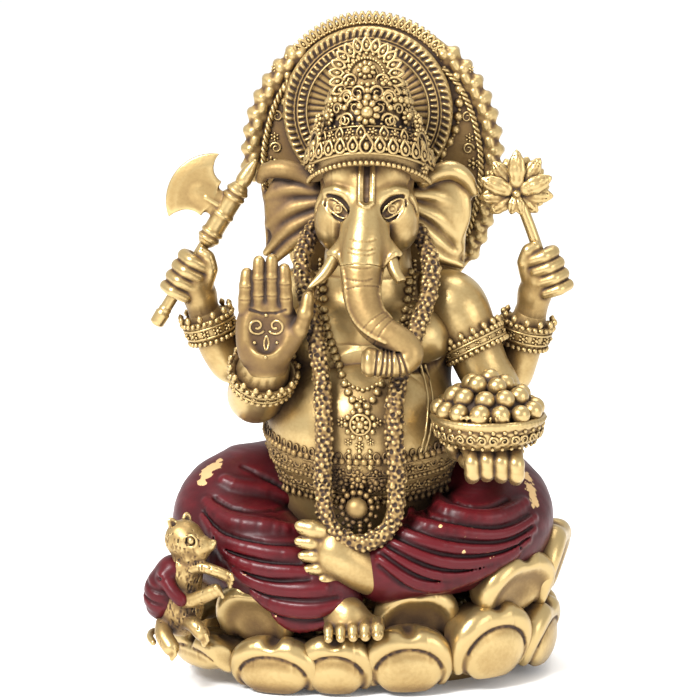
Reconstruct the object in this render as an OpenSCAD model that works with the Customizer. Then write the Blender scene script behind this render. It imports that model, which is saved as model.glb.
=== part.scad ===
// Seated Ganesha idol in cast resin on a lotus base.
// Millimetres. +Z up, the figure faces -Y, the origin is the centre of the flat underside.
// "right" and "left" are the figure's own right and left: its right hand is on the -X side.

/* [Lotus base] */
// Half width of the seat block
core_rx = 46; // [44:0.5:48]
// Half depth of the seat block
core_ry = 31; // [29:0.5:33]
// Height of the seat block
core_h = 26; // [22:0.5:28]
// How far each petal leans out over its foot
petal_lean = 9; // [6:0.5:11]
// Thickness of a petal's body
petal_t = 7; // [5:0.5:8]

/* [Body] */
// Half width of the belly
belly_rx = 29; // [27:0.5:31]
// Height of the belly's middle
belly_z = 77; // [75:0.5:79]
// Height of the shoulders
shoulder_z = 116; // [114:0.5:118]
// Height of both knees' middle
knee_z = 49; // [47:0.5:51]

/* [Head] */
// Sideways place of the head's middle
head_x = 0.2; // [-1:0.1:2]
// Height of the skull's middle
head_z = 151; // [149:0.5:153]
// Half width of the skull
skull_r = 15; // [14:0.5:16]

/* [Crown and back plate] */
// Height of the crown's brim
crown_z = 159; // [157:0.5:161]
// Height of the round halo's middle
halo_z = 173.5; // [172:0.5:175]
// Radius of the round halo
halo_r = 26.5; // [25:0.5:28]
// Height at which the arch is widest
arch_z = 158; // [156:0.5:160]
// Half width of the arch
arch_r = 39.5; // [38:0.5:41]
// Rise of the arch above its widest place
arch_h = 45.5; // [44:0.5:47]

/* [Things held] */
// Radius of the axe's shaft
shaft_r = 2; // [1.6:0.1:2.4]
// Radius of the bowl's rim
bowl_r = 17; // [15:0.5:18]
// Radius of one sweet
sweet_r = 3; // [2.6:0.1:3.2]

/* [Hidden] */
ball_fn = 14;     // facets of a limb's balls
digit_fn = 10;    // facets of a finger's or toe's balls
egg_fn = 22;      // facets of a large rounded mass
// Petals, each [middle of its lip x, y, width, foot height, lip height, heading from straight ahead]
lower_petals = [[-52, -27, 24, 5, 14, -50], [-27, -42.5, 27, 0.5, 17, -14], [-8, -44, 22, 1, 18, -3],
    [14.5, -43, 26, 1.5, 21, 8], [41, -33, 28, 4, 27, 38], [57, -11, 26, 3, 23, 75], [56, 13, 26, 1, 22, 108],
    [36, 34, 27, 0, 21, 145], [12, 40, 26, 0, 21, 172], [-14, 40, 26, 0, 21, 189], [-38, 32, 27, 0, 20, 216],
    [-56, 10, 26, 2, 19, 256]];
upper_petals = [[-34, -37, 24, 14, 33, -24], [17, -37, 24, 16, 34, 10], [49, -26, 30, 22, 41, 48],
    [61, -4, 28, 20, 47, 82], [48, 26, 28, 17, 38, 130], [3, 37, 28, 17, 35, 180], [-45, 26, 28, 16, 34, 228],
    [-58, -4, 26, 15, 32, 276]];
LOWER = [for (i = [0 : len(lower_petals) - 1]) str("lower_petal_", i < 9 ? "0" : "", i + 1)];
UPPER = [for (i = [0 : len(upper_petals) - 1]) str("upper_petal_0", i + 1)];
gold = "goldenrod";
dark_gold = "darkgoldenrod";
cloth_red = "maroon";

// Limb points, each [x, y, z, radius]
right_leg_points = [[-15, 6, 48, 19], [-41, -5, knee_z, 16.5], [-31, -22, 40, 15], [-11, -36, 32, 8.5]];
left_leg_points = [[16, 6, 48, 19], [42, -5, knee_z + 0.5, 16.5], [30, -25, 44, 14], [8, -37, 41, 9]];
trunk_points = [[0.2, -24, 146, 5], [0, -28, 139, 6], [-0.6, -31, 132, 5.9], [-0.6, -33, 126, 5.6],
    [0.4, -35, 120, 5.3], [2.7, -37, 115, 4.9], [7.2, -38.5, 111.4, 4.5], [11.6, -39.5, 109.5, 4.2],
    [14.2, -40, 106.6, 3.8], [13, -41, 103.8, 3.6], [9.9, -42, 103, 3.6], [6.2, -42.5, 103.6, 3.8], [3, -42.5, 104, 4]];
rear_right_arm_points = [[-21.6, 6, 114.8, 9], [-42, 4, 95, 6.2], [-50.5, 2, 112, 5.6]];
rear_left_arm_points = [[19.5, 6, 114.8, 9], [44, 4, 92.5, 6.2], [50, 2, 113, 5.6]];
front_right_arm_points = [[-23.5, -6, 115, 9.5], [-33.4, -19, 89, 8.4], [-30, -29, 99, 8]];
front_left_arm_points = [[26.8, -8, 117, 10], [40.5, -12, 90, 8.2], [40, -29, 74, 6.4]];
garland_points = [[-17, -14, 136], [-19.5, -20, 130], [-18, -26, 122], [-15, -30, 112], [-13, -33, 102],
    [-12, -36, 93], [-11.5, -39.5, 83], [-11.5, -40, 73], [-11.5, -39, 64], [-10.5, -40, 56],
    [-7, -42, 51], [0, -43, 48.5], [6.5, -42, 51], [10, -40.5, 57], [10.5, -39.5, 65],
    [10.5, -40, 74], [9.8, -39.5, 83], [10, -36.5, 92], [12, -33, 101], [16, -28, 111],
    [19.5, -23, 121], [20.5, -17, 130], [17, -12, 136]];
garland_r = 2.9;
garland_sides = 8;
garland_rings_per_span = 3;
necklace_beads = 30;

// ---- helpers ----
module ball(p, fn = ball_fn) translate([p[0], p[1], p[2]]) sphere(p[3], $fn = fn);

module egg(centre, radii) hull() translate(centre) scale(radii) sphere(1, $fn = egg_fn);

module chain(points) for (i = [0 : len(points) - 2]) hull() {
    ball(points[i]);
    ball(points[i + 1]);
}

// A finger or toe, a little thinner at its tip
module digit(from, to, r) hull() {
    ball(concat(from, r), digit_fn);
    ball(concat(to, r * 0.9), digit_fn);
}

// A straight rod or cone between two points, each [x, y, z]
module rod(from, to, r1, r2) {
    v = to - from;
    translate(from) rotate([0, acos(v[2] / norm(v)), atan2(v[1], v[0])]) cylinder(norm(v), r1, r2, $fn = 40);
}

// ---- lotus base ----
module core_body() linear_extrude(core_h)
    polygon([for (a = [0 : 7.5 : 352.5]) [core_rx * cos(a), core_ry * sin(a)]]);

module lotus_core() color(gold) difference() {
    core_body();
    leg_bodies();
}

// One petal facing -Y: its lip is at the origin's height above, its foot is set back by the lean
module petal_form(w, foot, lip) hull() {
    r = petal_t / 2;
    for (side = [-1, 1]) {
        translate([side * (w * 0.34 - r), petal_lean, foot + r]) sphere(r, $fn = ball_fn);
        translate([side * (w / 2 - r), petal_lean * 0.6, foot + (lip - foot) * 0.5]) sphere(r, $fn = ball_fn);
        translate([side * (w * 0.3 - 2), 2.5, lip - 3]) sphere(2.5, $fn = ball_fn);
    }
    translate([0, 2.5, lip - 2.5]) sphere(2.5, $fn = ball_fn);
    translate([0, 3, foot + (lip - foot) * 0.45]) sphere(r, $fn = ball_fn);
}

module petal(p) translate([p[0], p[1], 0]) rotate(p[5]) petal_form(p[2], p[3], p[4]);

module lower_petal(i) color(gold) difference() {
    petal(lower_petals[i]);
    core_body();
}

module upper_petal(i) color(gold) difference() {
    petal(upper_petals[i]);
    leg_bodies();
}

// ---- body ----
module torso_body() {
    hull() {
        egg([0, 1, 50], [30, 25, 18]);
        egg([0, -12, belly_z], [belly_rx, 26, 26]);
    }
    hull() {
        egg([0, -4, 106], [23, 18, 17]);
        egg([0, -8, belly_z + 8], [26, 24, 20]);
        for (side = [-1, 1]) ball([side * 21, -1, shoulder_z - 3, 9]);
    }
    hull() {
        ball([0, -2, 112, 15], egg_fn);
        ball([head_x, -3, 132, 12], egg_fn);
    }
}

module leg_bodies() {
    chain(right_leg_points);
    chain(left_leg_points);
}

module torso() color(gold) torso_body();

module right_leg() color(cloth_red) difference() {
    chain(right_leg_points);
    torso_body();
    chain(left_leg_points);
}

module left_leg() color(cloth_red) difference() {
    chain(left_leg_points);
    torso_body();
}

// The right foot comes out under the left leg with its toes on the lotus rim
module right_foot() color(gold) {
    chain([[-12, -38, 27, 5], [-6, -42, 25, 5]]);
    for (i = [0 : 4]) digit([-8 + i * 3.4, -46, 22.2 + i * 0.5], [-8.6 + i * 3.8, -49, 20.4 + i * 0.6], 1.7 + i * 0.12);
}

// The left foot lies on the right shin, toes towards -X, big toe on top
module left_foot() color(gold) {
    chain([[4, -39, 37, 5.6], [-5, -42, 42, 5.6], [-9, -42, 47, 4.6]]);
    for (i = [0 : 4]) digit([-11 + i * 0.9, -43, 52.5 - i * 4], [-17.5 + i * 1.6, -43.5, 53.5 - i * 4.2], 2.5 - i * 0.16);
}

// ---- head ----
module head_body() hull() {
    egg([head_x, -10, head_z], [skull_r, 15, 13]);
    for (side = [-1, 1]) ball([head_x + side * 9.4, -15, 141, 7], egg_fn);
}

module head() color(gold) difference() {
    head_body();
    torso_body();
}

module trunk() color(gold) difference() {
    chain(trunk_points);
    head_body();
}

module ear_form(side) {
    hull() {
        translate([side * 15, 0, 155.5]) sphere(2.6, $fn = ball_fn);
        translate([side * 29.5, 2, 154]) sphere(3.2, $fn = ball_fn);
        translate([side * 28.5, 2, 143]) sphere(2.4, $fn = ball_fn);
        translate([side * 14, 0, 142]) sphere(2.6, $fn = ball_fn);
    }
    hull() {
        translate([side * 28.5, 2, 143]) sphere(2.4, $fn = ball_fn);
        translate([side * 14, 0, 142]) sphere(2.6, $fn = ball_fn);
        translate([side * 17, -1, 135]) sphere(2.2, $fn = ball_fn);
        translate([side * 29.5, 1, 128]) sphere(1.8, $fn = ball_fn);
    }
}

module right_ear() color(gold) translate([head_x, 0, 0]) ear_form(-1);
module left_ear() color(gold) translate([head_x, 0, 0]) ear_form(1);

// The right tusk is whole; the left one is broken off short, as the story has it
module right_tusk() color(gold) rod([-6.5, -24, 134.5], [-16, -31, 124.9], 2, 0.5);
module left_tusk() color(gold) rod([7, -24, 134], [11, -29, 126.8], 1.9, 1.5);

// ---- crown and back plate ----
module crown() color(dark_gold) translate([head_x + 0.6, -9, 0]) rotate_extrude($fn = 64)
    polygon([[0, crown_z - 4], [17, crown_z - 4], [19.8, crown_z - 2], [19.8, crown_z + 4], [18, crown_z + 12],
        [14, crown_z + 15], [12.5, crown_z + 22], [9, crown_z + 32], [5.5, crown_z + 36.5], [0, crown_z + 37]]);

module halo_disc() color(dark_gold) translate([-0.7, 16, halo_z]) rotate([90, 0, 0])
    cylinder(h = 4, r = halo_r, $fn = 96);

arch_foot_z = 114;
arch_outline = concat(
    [for (a = [0 : 7.5 : 180]) [arch_r * cos(a), arch_z + arch_h * sin(a)]],
    [[-arch_r, 152], [-33, 134], [-22, arch_foot_z], [22, arch_foot_z], [33, 134], [arch_r, 152]]);

module back_arch() color(dark_gold) translate([0.5, 20.5, 0]) rotate([90, 0, 0])
    linear_extrude(4.5) polygon(arch_outline);

// ---- arms and hands ----
module arm(points) difference() {
    chain(points);
    torso_body();
}

module rear_right_arm() color(gold) arm(rear_right_arm_points);
module rear_left_arm() color(gold) arm(rear_left_arm_points);
module front_right_arm() color(gold) arm(front_right_arm_points);
module front_left_arm() color(gold) arm(front_left_arm_points);

// A closed fist; the fingers wrap round on the outer side
module fist(centre, side) translate(centre) {
    hull() {
        translate([side * -1, 0, -8]) sphere(5.2, $fn = ball_fn);
        translate([side * -1.5, 0, 2]) sphere(5.6, $fn = ball_fn);
    }
    for (i = [0 : 3]) hull() {
        translate([side * (0.5 + i * 1), -5, 7 - i * 3.9]) sphere(2, $fn = digit_fn);
        translate([side * (4.5 + i * 1.2), -2, 7 - i * 3.9]) sphere(2.1, $fn = digit_fn);
    }
}

module rear_right_hand() color(gold) difference() {
    fist([-54.5, -1, 123], -1);
    chain(rear_right_arm_points);
    rod(shaft_foot, shaft_top, shaft_r, shaft_r);
}

module rear_left_hand() color(gold) difference() {
    fist([53.5, -1, 126], 1);
    chain(rear_left_arm_points);
    rod(stem_foot, stem_top, 1.8, 1.8);
}

// Raised in blessing, the palm faces -Y
module front_right_hand() color(gold) {
    hull() {
        ball([-29, -34, 105, 5.5]);
        ball([-34.5, -36, 117, 3.6]);
        ball([-23, -36, 117, 3.6]);
    }
    for (i = [0 : 3]) digit([-34.5 + i * 4.2, -36, 117], [-33 + i * 3.6, -35.5, 131 - pow(i - 1.6, 2) * 1.6], 2.4);
    digit([-22, -35, 108], [-16.6, -36, 120], 2.6);
}

// Under the bowl, the fingertips curl round its foot
module front_left_hand() color(gold) {
    hull() {
        ball([40, -32, 71, 5.4]);
        for (side = [-1, 1]) ball([39.5 + side * 5, -38, 72, 4.4]);
    }
    for (i = [0 : 3]) digit([32.5 + i * 4.6, -41, 74], [33.2 + i * 4.6, -43, 68.5], 2.3);
}

// ---- things held ----
shaft_foot = [-66.5, -1, 107.5];
shaft_top = [-34, -1, 160.5];
socket_foot = [-49.5, -1, 135.2];
socket_top = [-40.5, -1, 149.9];
blade_middle = [-47.9, 146.7]; // middle of the crescent's outer circle, in X and Z
blade_r = 15.6;
blade_turn = 149;
stem_foot = [54, -1, 129];
stem_top = [47.6, -1, 146];
flower_centre = [46.7, -1, 151];
flower_t = 4.6;
petal_reach = [11, 11.5, 11.5, 12, 12.5, 12, 11.5, 11.5, 11]; // from the flower's centre to each tip
bowl_centre = [38, -36];
bowl_foot_z = 75.5;
bowl_rim_z = 87.5;
bowl_wall = 1.6;

module axe_shaft() color(gold) rod(shaft_foot, shaft_top, shaft_r, shaft_r);

// A half disc beyond the socket with a round bite out of each side, and its neck, thickened along Y
module axe_blade() translate([blade_middle[0], 0, blade_middle[1]]) rotate([90, 0, 0]) linear_extrude(2)
    difference() {
        union() {
            intersection() {
                circle(blade_r, $fn = 72);
                rotate(blade_turn) translate([1, -20]) square([20, 40]);
            }
            rotate(blade_turn) translate([-2.4, -5]) square([5, 10]);
        }
        translate([4.6, 10.2]) circle(4.6, $fn = 40);
        translate([-8.4, -8.6]) circle(6, $fn = 40);
    }

module axe_head() color(gold) difference() {
    union() {
        rod(socket_foot, socket_top, 3.6, 3.6);
        axe_blade();
    }
    rod(shaft_foot, shaft_top, shaft_r, shaft_r);
}

module lotus_stem() color(gold) rod(stem_foot, stem_top, 1.8, 1.6);

// A spray of flat petals over a short calyx, thickened along Y, with a bead in its heart
module lotus_flower() color(gold) translate(flower_centre) rotate([90, 0, 0]) {
    translate([0, 0, -flower_t / 2]) linear_extrude(flower_t) {
        for (i = [0 : len(petal_reach) - 1]) rotate(100 - i * 25) hull() {
            circle(1.2, $fn = 20);
            translate([0, petal_reach[i] * 0.6]) circle(2.4, $fn = 24);
            translate([0, petal_reach[i]]) circle(0.9, $fn = 16);
        }
        hull() for (side = [-1, 1]) translate([side * 5, -4]) circle(2, $fn = 24);
        circle(4, $fn = 40);
    }
    translate([0, 0, flower_t / 2]) sphere(2.4, $fn = 32);
}

module sweets_bowl() color(gold) translate(bowl_centre) rotate_extrude($fn = 64)
    polygon([[0, bowl_foot_z], [8, bowl_foot_z], [13.5, bowl_foot_z + 3.4], [bowl_r - 1, bowl_rim_z - 3.5],
        [bowl_r, bowl_rim_z], [bowl_r - bowl_wall, bowl_rim_z], [bowl_r - 3.2, bowl_rim_z - 5],
        [10, bowl_foot_z + 3.4], [0, bowl_foot_z + 2]]);

// Round sweets: a ring of twelve on the rim, a ring of six on those, and one on top
module sweets() color(gold) translate([bowl_centre[0], bowl_centre[1], bowl_rim_z]) {
    for (a = [0 : 60 : 300]) rotate(a) translate([6.8, 0, 3.2]) sphere(sweet_r, $fn = 32);
    for (a = [0 : 30 : 330]) rotate(a + 15) translate([12.6, 0, -0.2]) sphere(sweet_r, $fn = 32);
    translate([0, 0, 5.6]) sphere(sweet_r, $fn = 32);
}

// ---- ornaments ----
module cuff(from, to, share, r, length) {
    axis = (to - from) / norm(to - from);
    middle = from + (to - from) * share;
    difference() {
        rod(middle - axis * length / 2, middle + axis * length / 2, r, r);
        rod(middle - axis * length, middle + axis * length, r - 2.2, r - 2.2);
    }
}

function point(p) = [p[0], p[1], p[2]];

module rear_right_bracelet() color(dark_gold)
    cuff(point(rear_right_arm_points[1]), point(rear_right_arm_points[2]), 0.86, 8.2, 8);
module rear_left_bracelet() color(dark_gold)
    cuff(point(rear_left_arm_points[1]), point(rear_left_arm_points[2]), 0.84, 8.2, 8.5);
module front_right_bracelet() color(dark_gold)
    cuff(point(front_right_arm_points[1]), point(front_right_arm_points[2]), 0.8, 10.6, 5);
module front_left_bracelet() color(dark_gold)
    cuff(point(front_left_arm_points[1]), point(front_left_arm_points[2]), 0.86, 9, 5);

module armlets() color(dark_gold) {
    cuff(point(front_left_arm_points[0]), point(front_left_arm_points[1]), 0.52, 12, 4.5);
    cuff(point(front_right_arm_points[0]), point(front_right_arm_points[1]), 0.55, 11.2, 4.5);
}

function along(points, i, t) = points[i] * (1 - t) + points[i + 1] * t;
function smooth_path(points, n) = [
    for (i = [0 : len(points) - 2]) for (k = [0 : n - 1]) along(points, i, k / n), points[len(points) - 1]];

// A round tube swept along a path: each ring stands square to the path and to +Y
module tube(path, r, sides) {
    n = len(path);
    function way(i) = path[min(i + 1, n - 1)] - path[max(i - 1, 0)];
    function across(i) = cross(way(i), [0, 1, 0]) / norm(cross(way(i), [0, 1, 0]));
    function up(i) = cross(across(i), way(i)) / norm(cross(across(i), way(i)));
    rings = [for (i = [0 : n - 1]) for (k = [0 : sides - 1])
        path[i] + r * (cos(k * 360 / sides) * across(i) + sin(k * 360 / sides) * up(i))];
    walls = [for (i = [0 : n - 2]) for (k = [0 : sides - 1])
        [i * sides + k, i * sides + (k + 1) % sides, (i + 1) * sides + (k + 1) % sides, (i + 1) * sides + k]];
    foot = [[for (k = [sides - 1 : -1 : 0]) k]];
    cap = [[for (k = [0 : sides - 1]) (n - 1) * sides + k]];
    polyhedron(rings, concat(walls, foot, cap), convexity = 6);
}

module garland() color(dark_gold)
    tube(smooth_path(garland_points, garland_rings_per_span), garland_r, garland_sides);

// A string of round beads hanging in a curve on the chest, with a round pendant
module necklace() color(gold) {
    for (i = [0 : necklace_beads - 1]) {
        u = i / (necklace_beads - 1) * 2 - 1;
        translate([u * 9, -33 - 5.5 * (1 - u * u), 89 + 26 * pow(abs(u), 1.7)]) sphere(1.15, $fn = 32);
    }
    translate([-0.5, -39, 83]) rotate([82, 0, 0]) cylinder(h = 2.4, r = 4.6, center = true, $fn = 48);
}

// A broad jewelled band below the belly with a round boss in front
module belt() color(dark_gold) {
    difference() {
        hull() {
            translate([0, -6, 66]) scale([31.5, 30.5, 1]) cylinder(h = 2, r = 1, $fn = 40);
            translate([0, -8, 55]) scale([24, 30, 1]) cylinder(h = 2, r = 1, $fn = 40);
        }
        torso_body();
        leg_bodies();
    }
    translate([-1.5, -40, 57.5]) sphere(4, $fn = 48);
}

// ---- mouse ----
module mouse() color(gold) {
    mouse_body();
    hull() {
        ball([-52, -38, 43, 5.6]);
        ball([-46.5, -42, 41, 2.2]);
    }
    for (ear = [[-56.5, -36, 49.5, 2.3], [-49.5, -34, 49, 2.5]]) ball(ear);
    chain([[-50, -40, 33, 2.2], [-44, -42, 35, 1.8]]);
    chain([[-51, -39, 27, 2.4], [-43.5, -42, 29, 1.8]]);
    chain([[-58, -40, 17, 2.6], [-55, -46, 15, 2]]);
    chain([[-51, -40, 19, 2.6], [-47, -45, 18, 2]]);
}

module mouse_cloak() color(cloth_red) difference() {
    hull() {
        ball([-59, -33, 24, 6.5]);
        ball([-57, -34, 34, 5.5]);
    }
    mouse_body();
}

module mouse_body() {
    egg([-54, -36, 25], [8, 8, 10]);
    hull() {
        ball([-53, -37, 33, 6]);
        ball([-53, -37, 42, 6.4]);
    }
}

lotus_core();
for (i = [0 : len(LOWER) - 1]) lower_petal(i);
for (i = [0 : len(UPPER) - 1]) upper_petal(i);
torso();
right_leg();
left_leg();
right_foot();
left_foot();
head();
trunk();
right_ear();
left_ear();
right_tusk();
left_tusk();
crown();
halo_disc();
back_arch();
rear_right_arm();
rear_left_arm();
front_right_arm();
front_left_arm();
rear_right_hand();
rear_left_hand();
front_right_hand();
front_left_hand();
axe_shaft();
axe_head();
lotus_stem();
lotus_flower();
sweets_bowl();
sweets();
rear_right_bracelet();
rear_left_bracelet();
front_right_bracelet();
front_left_bracelet();
armlets();
garland();
necklace();
belt();
mouse();
mouse_cloak();
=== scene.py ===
import math

import bmesh
import bpy
import numpy as np
import openvdb
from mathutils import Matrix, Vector


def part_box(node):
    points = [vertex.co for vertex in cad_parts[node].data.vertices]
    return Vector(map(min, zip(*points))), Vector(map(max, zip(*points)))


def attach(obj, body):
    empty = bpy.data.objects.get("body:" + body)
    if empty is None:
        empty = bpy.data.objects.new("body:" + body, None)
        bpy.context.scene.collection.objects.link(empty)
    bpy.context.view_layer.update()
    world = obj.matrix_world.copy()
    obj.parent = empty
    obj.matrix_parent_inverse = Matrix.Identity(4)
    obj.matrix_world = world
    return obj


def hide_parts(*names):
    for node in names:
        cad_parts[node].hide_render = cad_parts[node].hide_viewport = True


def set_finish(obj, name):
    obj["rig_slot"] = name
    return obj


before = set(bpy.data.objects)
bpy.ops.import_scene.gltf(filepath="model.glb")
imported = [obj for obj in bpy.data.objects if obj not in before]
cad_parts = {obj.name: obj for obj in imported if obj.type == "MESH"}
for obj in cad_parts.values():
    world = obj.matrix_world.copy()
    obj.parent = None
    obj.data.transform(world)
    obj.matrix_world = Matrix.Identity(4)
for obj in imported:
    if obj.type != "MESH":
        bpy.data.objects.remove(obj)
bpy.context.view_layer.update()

MM = 0.001
FAR = 2.5        # mm: distances past this don't matter, so shapes are worked out only this far round themselves
FINE, MEDIUM, COARSE = 0.3, 0.4, 0.5     # mm: grids of the small, middling and large sculpted pieces
WELD = 1e-7      # m: points of an ornament nearer than this become one
TAU = 2 * math.pi
OVALS = 18       # points round an ornamental loop

low_seat, high_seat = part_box("lotus_core")
SEAT = np.array([(low_seat.x + high_seat.x) / 2, (low_seat.y + high_seat.y) / 2, low_seat.z]) / MM


def at(x, y, z, *radius):
    """A point given in mm from the middle of the lotus core's underside, in the frame. A radius may follow."""
    return np.append(np.array((x, y, z), float) + SEAT, radius)


def box_mm(node):
    """Lowest corner, highest corner and middle of a CAD node, in mm."""
    low, high = (np.array(corner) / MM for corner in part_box(node))
    return low, high, (low + high) / 2


# ---------------------------------------------------------------- curves and directions
def curve(points, n=8):
    """A smooth curve through the points: Catmull-Rom, n steps to each span. A radius may be a 4th value."""
    p = np.array(points, float)
    p = np.vstack([2 * p[0] - p[1], p, 2 * p[-1] - p[-2]])
    t = np.linspace(0, 1, n, endpoint=False)[:, None]
    spans = [0.5 * (2 * b + (c - a) * t + (2 * a - 5 * b + 4 * c - d) * t**2 + (3 * b - a - 3 * c + d) * t**3)
             for a, b, c, d in zip(p[:-3], p[1:-2], p[2:-1], p[3:])]
    return np.vstack(spans + [p[-2:-1]])


def bent(points, n):
    """A smooth curve through points given as for at()."""
    return curve([at(*q) for q in points], n)


def even(points, gap):
    """Points about gap apart along a polyline, both ends kept."""
    p = np.array(points, float)
    run = lengths(p)
    s = np.linspace(0, run[-1], max(1, round(run[-1] / gap)) + 1)
    return np.stack([np.interp(s, run, p[:, k]) for k in range(p.shape[1])], 1)


def lengths(p):
    """How far along a polyline each of its points lies."""
    return np.concatenate([[0], np.cumsum(np.linalg.norm(np.diff(p[:, :3], axis=0), axis=1))])


def unit(v):
    v = np.array(v, float)
    return v / np.linalg.norm(v)


def around(count, start=0.0):
    """Angles evenly round a circle, in radians."""
    return start + np.linspace(0, TAU, count + 1)[:-1]


def clock(turn, a, wide=1.0, tall=None):
    """The way at angle a in the plane of a frame's first two columns, wide to its right and tall upwards."""
    return turn[:, 0] * wide * math.cos(a) + turn[:, 1] * (wide if tall is None else tall) * math.sin(a)


def rotation(ax, ay, az):
    """Matrix that turns about X, then Y, then Z, in degrees."""
    x, y, z = (math.radians(a) for a in (ax, ay, az))
    rx = np.array([[1, 0, 0], [0, math.cos(x), -math.sin(x)], [0, math.sin(x), math.cos(x)]])
    ry = np.array([[math.cos(y), 0, math.sin(y)], [0, 1, 0], [-math.sin(y), 0, math.cos(y)]])
    rz = np.array([[math.cos(z), -math.sin(z), 0], [math.sin(z), math.cos(z), 0], [0, 0, 1]])
    return rz @ ry @ rx


def side_frame(normal, up=(0, 0, 1)):
    """A rotation whose columns are right, up and out for a surface that faces normal."""
    out = unit(normal)
    right = unit(np.cross(up, out))
    return np.stack([right, np.cross(out, right), out], 1)


# ---------------------------------------------------------------- clay: shapes as distances on a grid
def soft_join(old, new, blend, cut):
    """Distances to two shapes together, or to the old one with the new one cut out, joined blend mm wide."""
    old = -old if cut else old
    out = np.minimum(old, new)
    if blend > 0:
        gap = np.maximum(blend - np.abs(old - new), 0)
        out = out - gap * gap / (4 * blend)
    return -out if cut else out


def along_and_out(xyz, c, n):
    """For a grid: how far along the axis n each point lies from c, and how far from that axis."""
    x, y, z = (values - middle for values, middle in zip(xyz, c))
    along = x * n[0] + y * n[1] + z * n[2]
    return along, np.sqrt(np.maximum(x * x + y * y + z * z - along * along, 0))


class Clay:
    """A block of distances to a surface, in mm, negative inside. Shapes are added and cut, then it is meshed."""

    def __init__(self, low, high, step):
        self.low, self.step = np.array(low, float), step
        size = np.ceil((np.array(high, float) - self.low) / step).astype(int) + 1
        self.axes = [(self.low[k] + step * np.arange(size[k])).astype(np.float32) for k in range(3)]
        self.d = np.full(size, FAR, np.float32)

    def grid(self, cut=(slice(None),) * 3):
        """The x, y and z values of the grid, or of a part of it."""
        x, y, z = (axis[s] for axis, s in zip(self.axes, cut))
        return x[:, None, None], y[None, :, None], z[None, None, :]

    def merge(self, low, high, distance, blend=0.0, cut=False):
        """Adds a shape that fills a box, or cuts it out, with a soft join blend mm wide."""
        low = np.maximum(np.floor((np.array(low) - FAR - self.low) / self.step).astype(int), 0)
        high = np.minimum(np.ceil((np.array(high) + FAR - self.low) / self.step).astype(int) + 1, self.d.shape)
        if (high > low).all():
            where = tuple(slice(a, b) for a, b in zip(low, high))
            self.d[where] = soft_join(self.d[where], distance(*self.grid(where)), blend, cut)

    def ball(self, c, r, blend=0.0, cut=False):
        self.egg(c, (r, r, r), blend=blend, cut=cut)

    def egg(self, c, radii, turn=None, blend=0.0, cut=False):
        """An ellipsoid, turned by a rotation matrix."""
        c, radii = np.array(c, float), np.array(radii, float)
        reach = radii if turn is None else np.full(3, radii.max())

        def distance(x, y, z):
            x, y, z = x - c[0], y - c[1], z - c[2]
            if turn is not None:
                x, y, z = (turn[0, k] * x + turn[1, k] * y + turn[2, k] * z for k in range(3))
            near = np.sqrt((x / radii[0]) ** 2 + (y / radii[1]) ** 2 + (z / radii[2]) ** 2)
            slope = np.sqrt((x / radii[0] ** 2) ** 2 + (y / radii[1] ** 2) ** 2 + (z / radii[2] ** 2) ** 2)
            return near * (near - 1) / np.maximum(slope, 1e-6)

        self.merge(c - reach, c + reach, distance, blend, cut)

    def rod(self, a, b, ra, rb, blend=0.0, cut=False, flat=None):
        """A rod with round ends from a to b, its radius going from ra to rb.
        flat is a direction to squeeze it along, and how much."""
        a, b = np.array(a[:3], float), np.array(b[:3], float)
        v = b - a
        length2 = max(float(v @ v), 1e-9)
        reach = max(ra, rb)

        def distance(x, y, z):
            x, y, z = x - a[0], y - a[1], z - a[2]
            t = np.clip((x * v[0] + y * v[1] + z * v[2]) / length2, 0, 1)
            dx, dy, dz = x - t * v[0], y - t * v[1], z - t * v[2]
            if flat is not None:
                n, share = flat
                more = (dx * n[0] + dy * n[1] + dz * n[2]) * (1 / share - 1)
                dx, dy, dz = dx + more * n[0], dy + more * n[1], dz + more * n[2]
            return np.sqrt(dx * dx + dy * dy + dz * dz) - (ra + (rb - ra) * t)

        self.merge(np.minimum(a, b) - reach, np.maximum(a, b) + reach, distance, blend, cut)

    def path(self, points, r=None, blend=0.0, cut=False, flat=None, own=0.35):
        """A rod along a line of points [x, y, z] or [x, y, z, radius]. The rods join softly, own mm wide."""
        p = np.array(points, float)
        radius = p[:, 3] if r is None else np.full(len(p), float(r))
        layer = self.like(p[:, :3].min(0) - radius.max(), p[:, :3].max(0) + radius.max())
        for i in range(len(p) - 1):
            layer.rod(p[i], p[i + 1], radius[i], radius[i + 1], own if i else 0, flat=flat)
        self.join(layer, blend, cut)

    def like(self, low, high):
        """An empty block on the same grid lines, round a box."""
        low = np.floor((np.array(low) - FAR - self.low) / self.step) * self.step + self.low
        return Clay(low, np.array(high) + FAR, self.step)

    def twin(self, d):
        """A block on the very same grid, with its own distances."""
        other = Clay(self.low, self.low + 1, self.step)
        other.axes, other.d = self.axes, d
        return other

    def join(self, layer, blend=0.0, cut=False):
        """Adds another block on the same grid lines, or cuts it out."""
        start = np.round((layer.low - self.low) / self.step).astype(int)
        low, high = np.maximum(start, 0), np.minimum(start + layer.d.shape, self.d.shape)
        if (high > low).all():
            here = tuple(slice(a, b) for a, b in zip(low, high))
            there = tuple(slice(a - s, b - s) for a, b, s in zip(low, high, start))
            self.d[here] = soft_join(self.d[here], layer.d[there], blend, cut)

    def disc(self, c, axis, r, half, edge=0.0, blend=0.0, cut=False):
        """A flat round plate with rounded edges: centre, axis, radius and half thickness."""
        def distance(*xyz):
            along, out = along_and_out(xyz, c, unit(axis))
            out, up = out - (r - edge), np.abs(along) - (half - edge)
            outside = np.sqrt(np.maximum(out, 0) ** 2 + np.maximum(up, 0) ** 2)
            return outside + np.minimum(np.maximum(out, up), 0) - edge

        reach = math.hypot(r, half)
        self.merge(c - reach, c + reach, distance, blend, cut)

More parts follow.
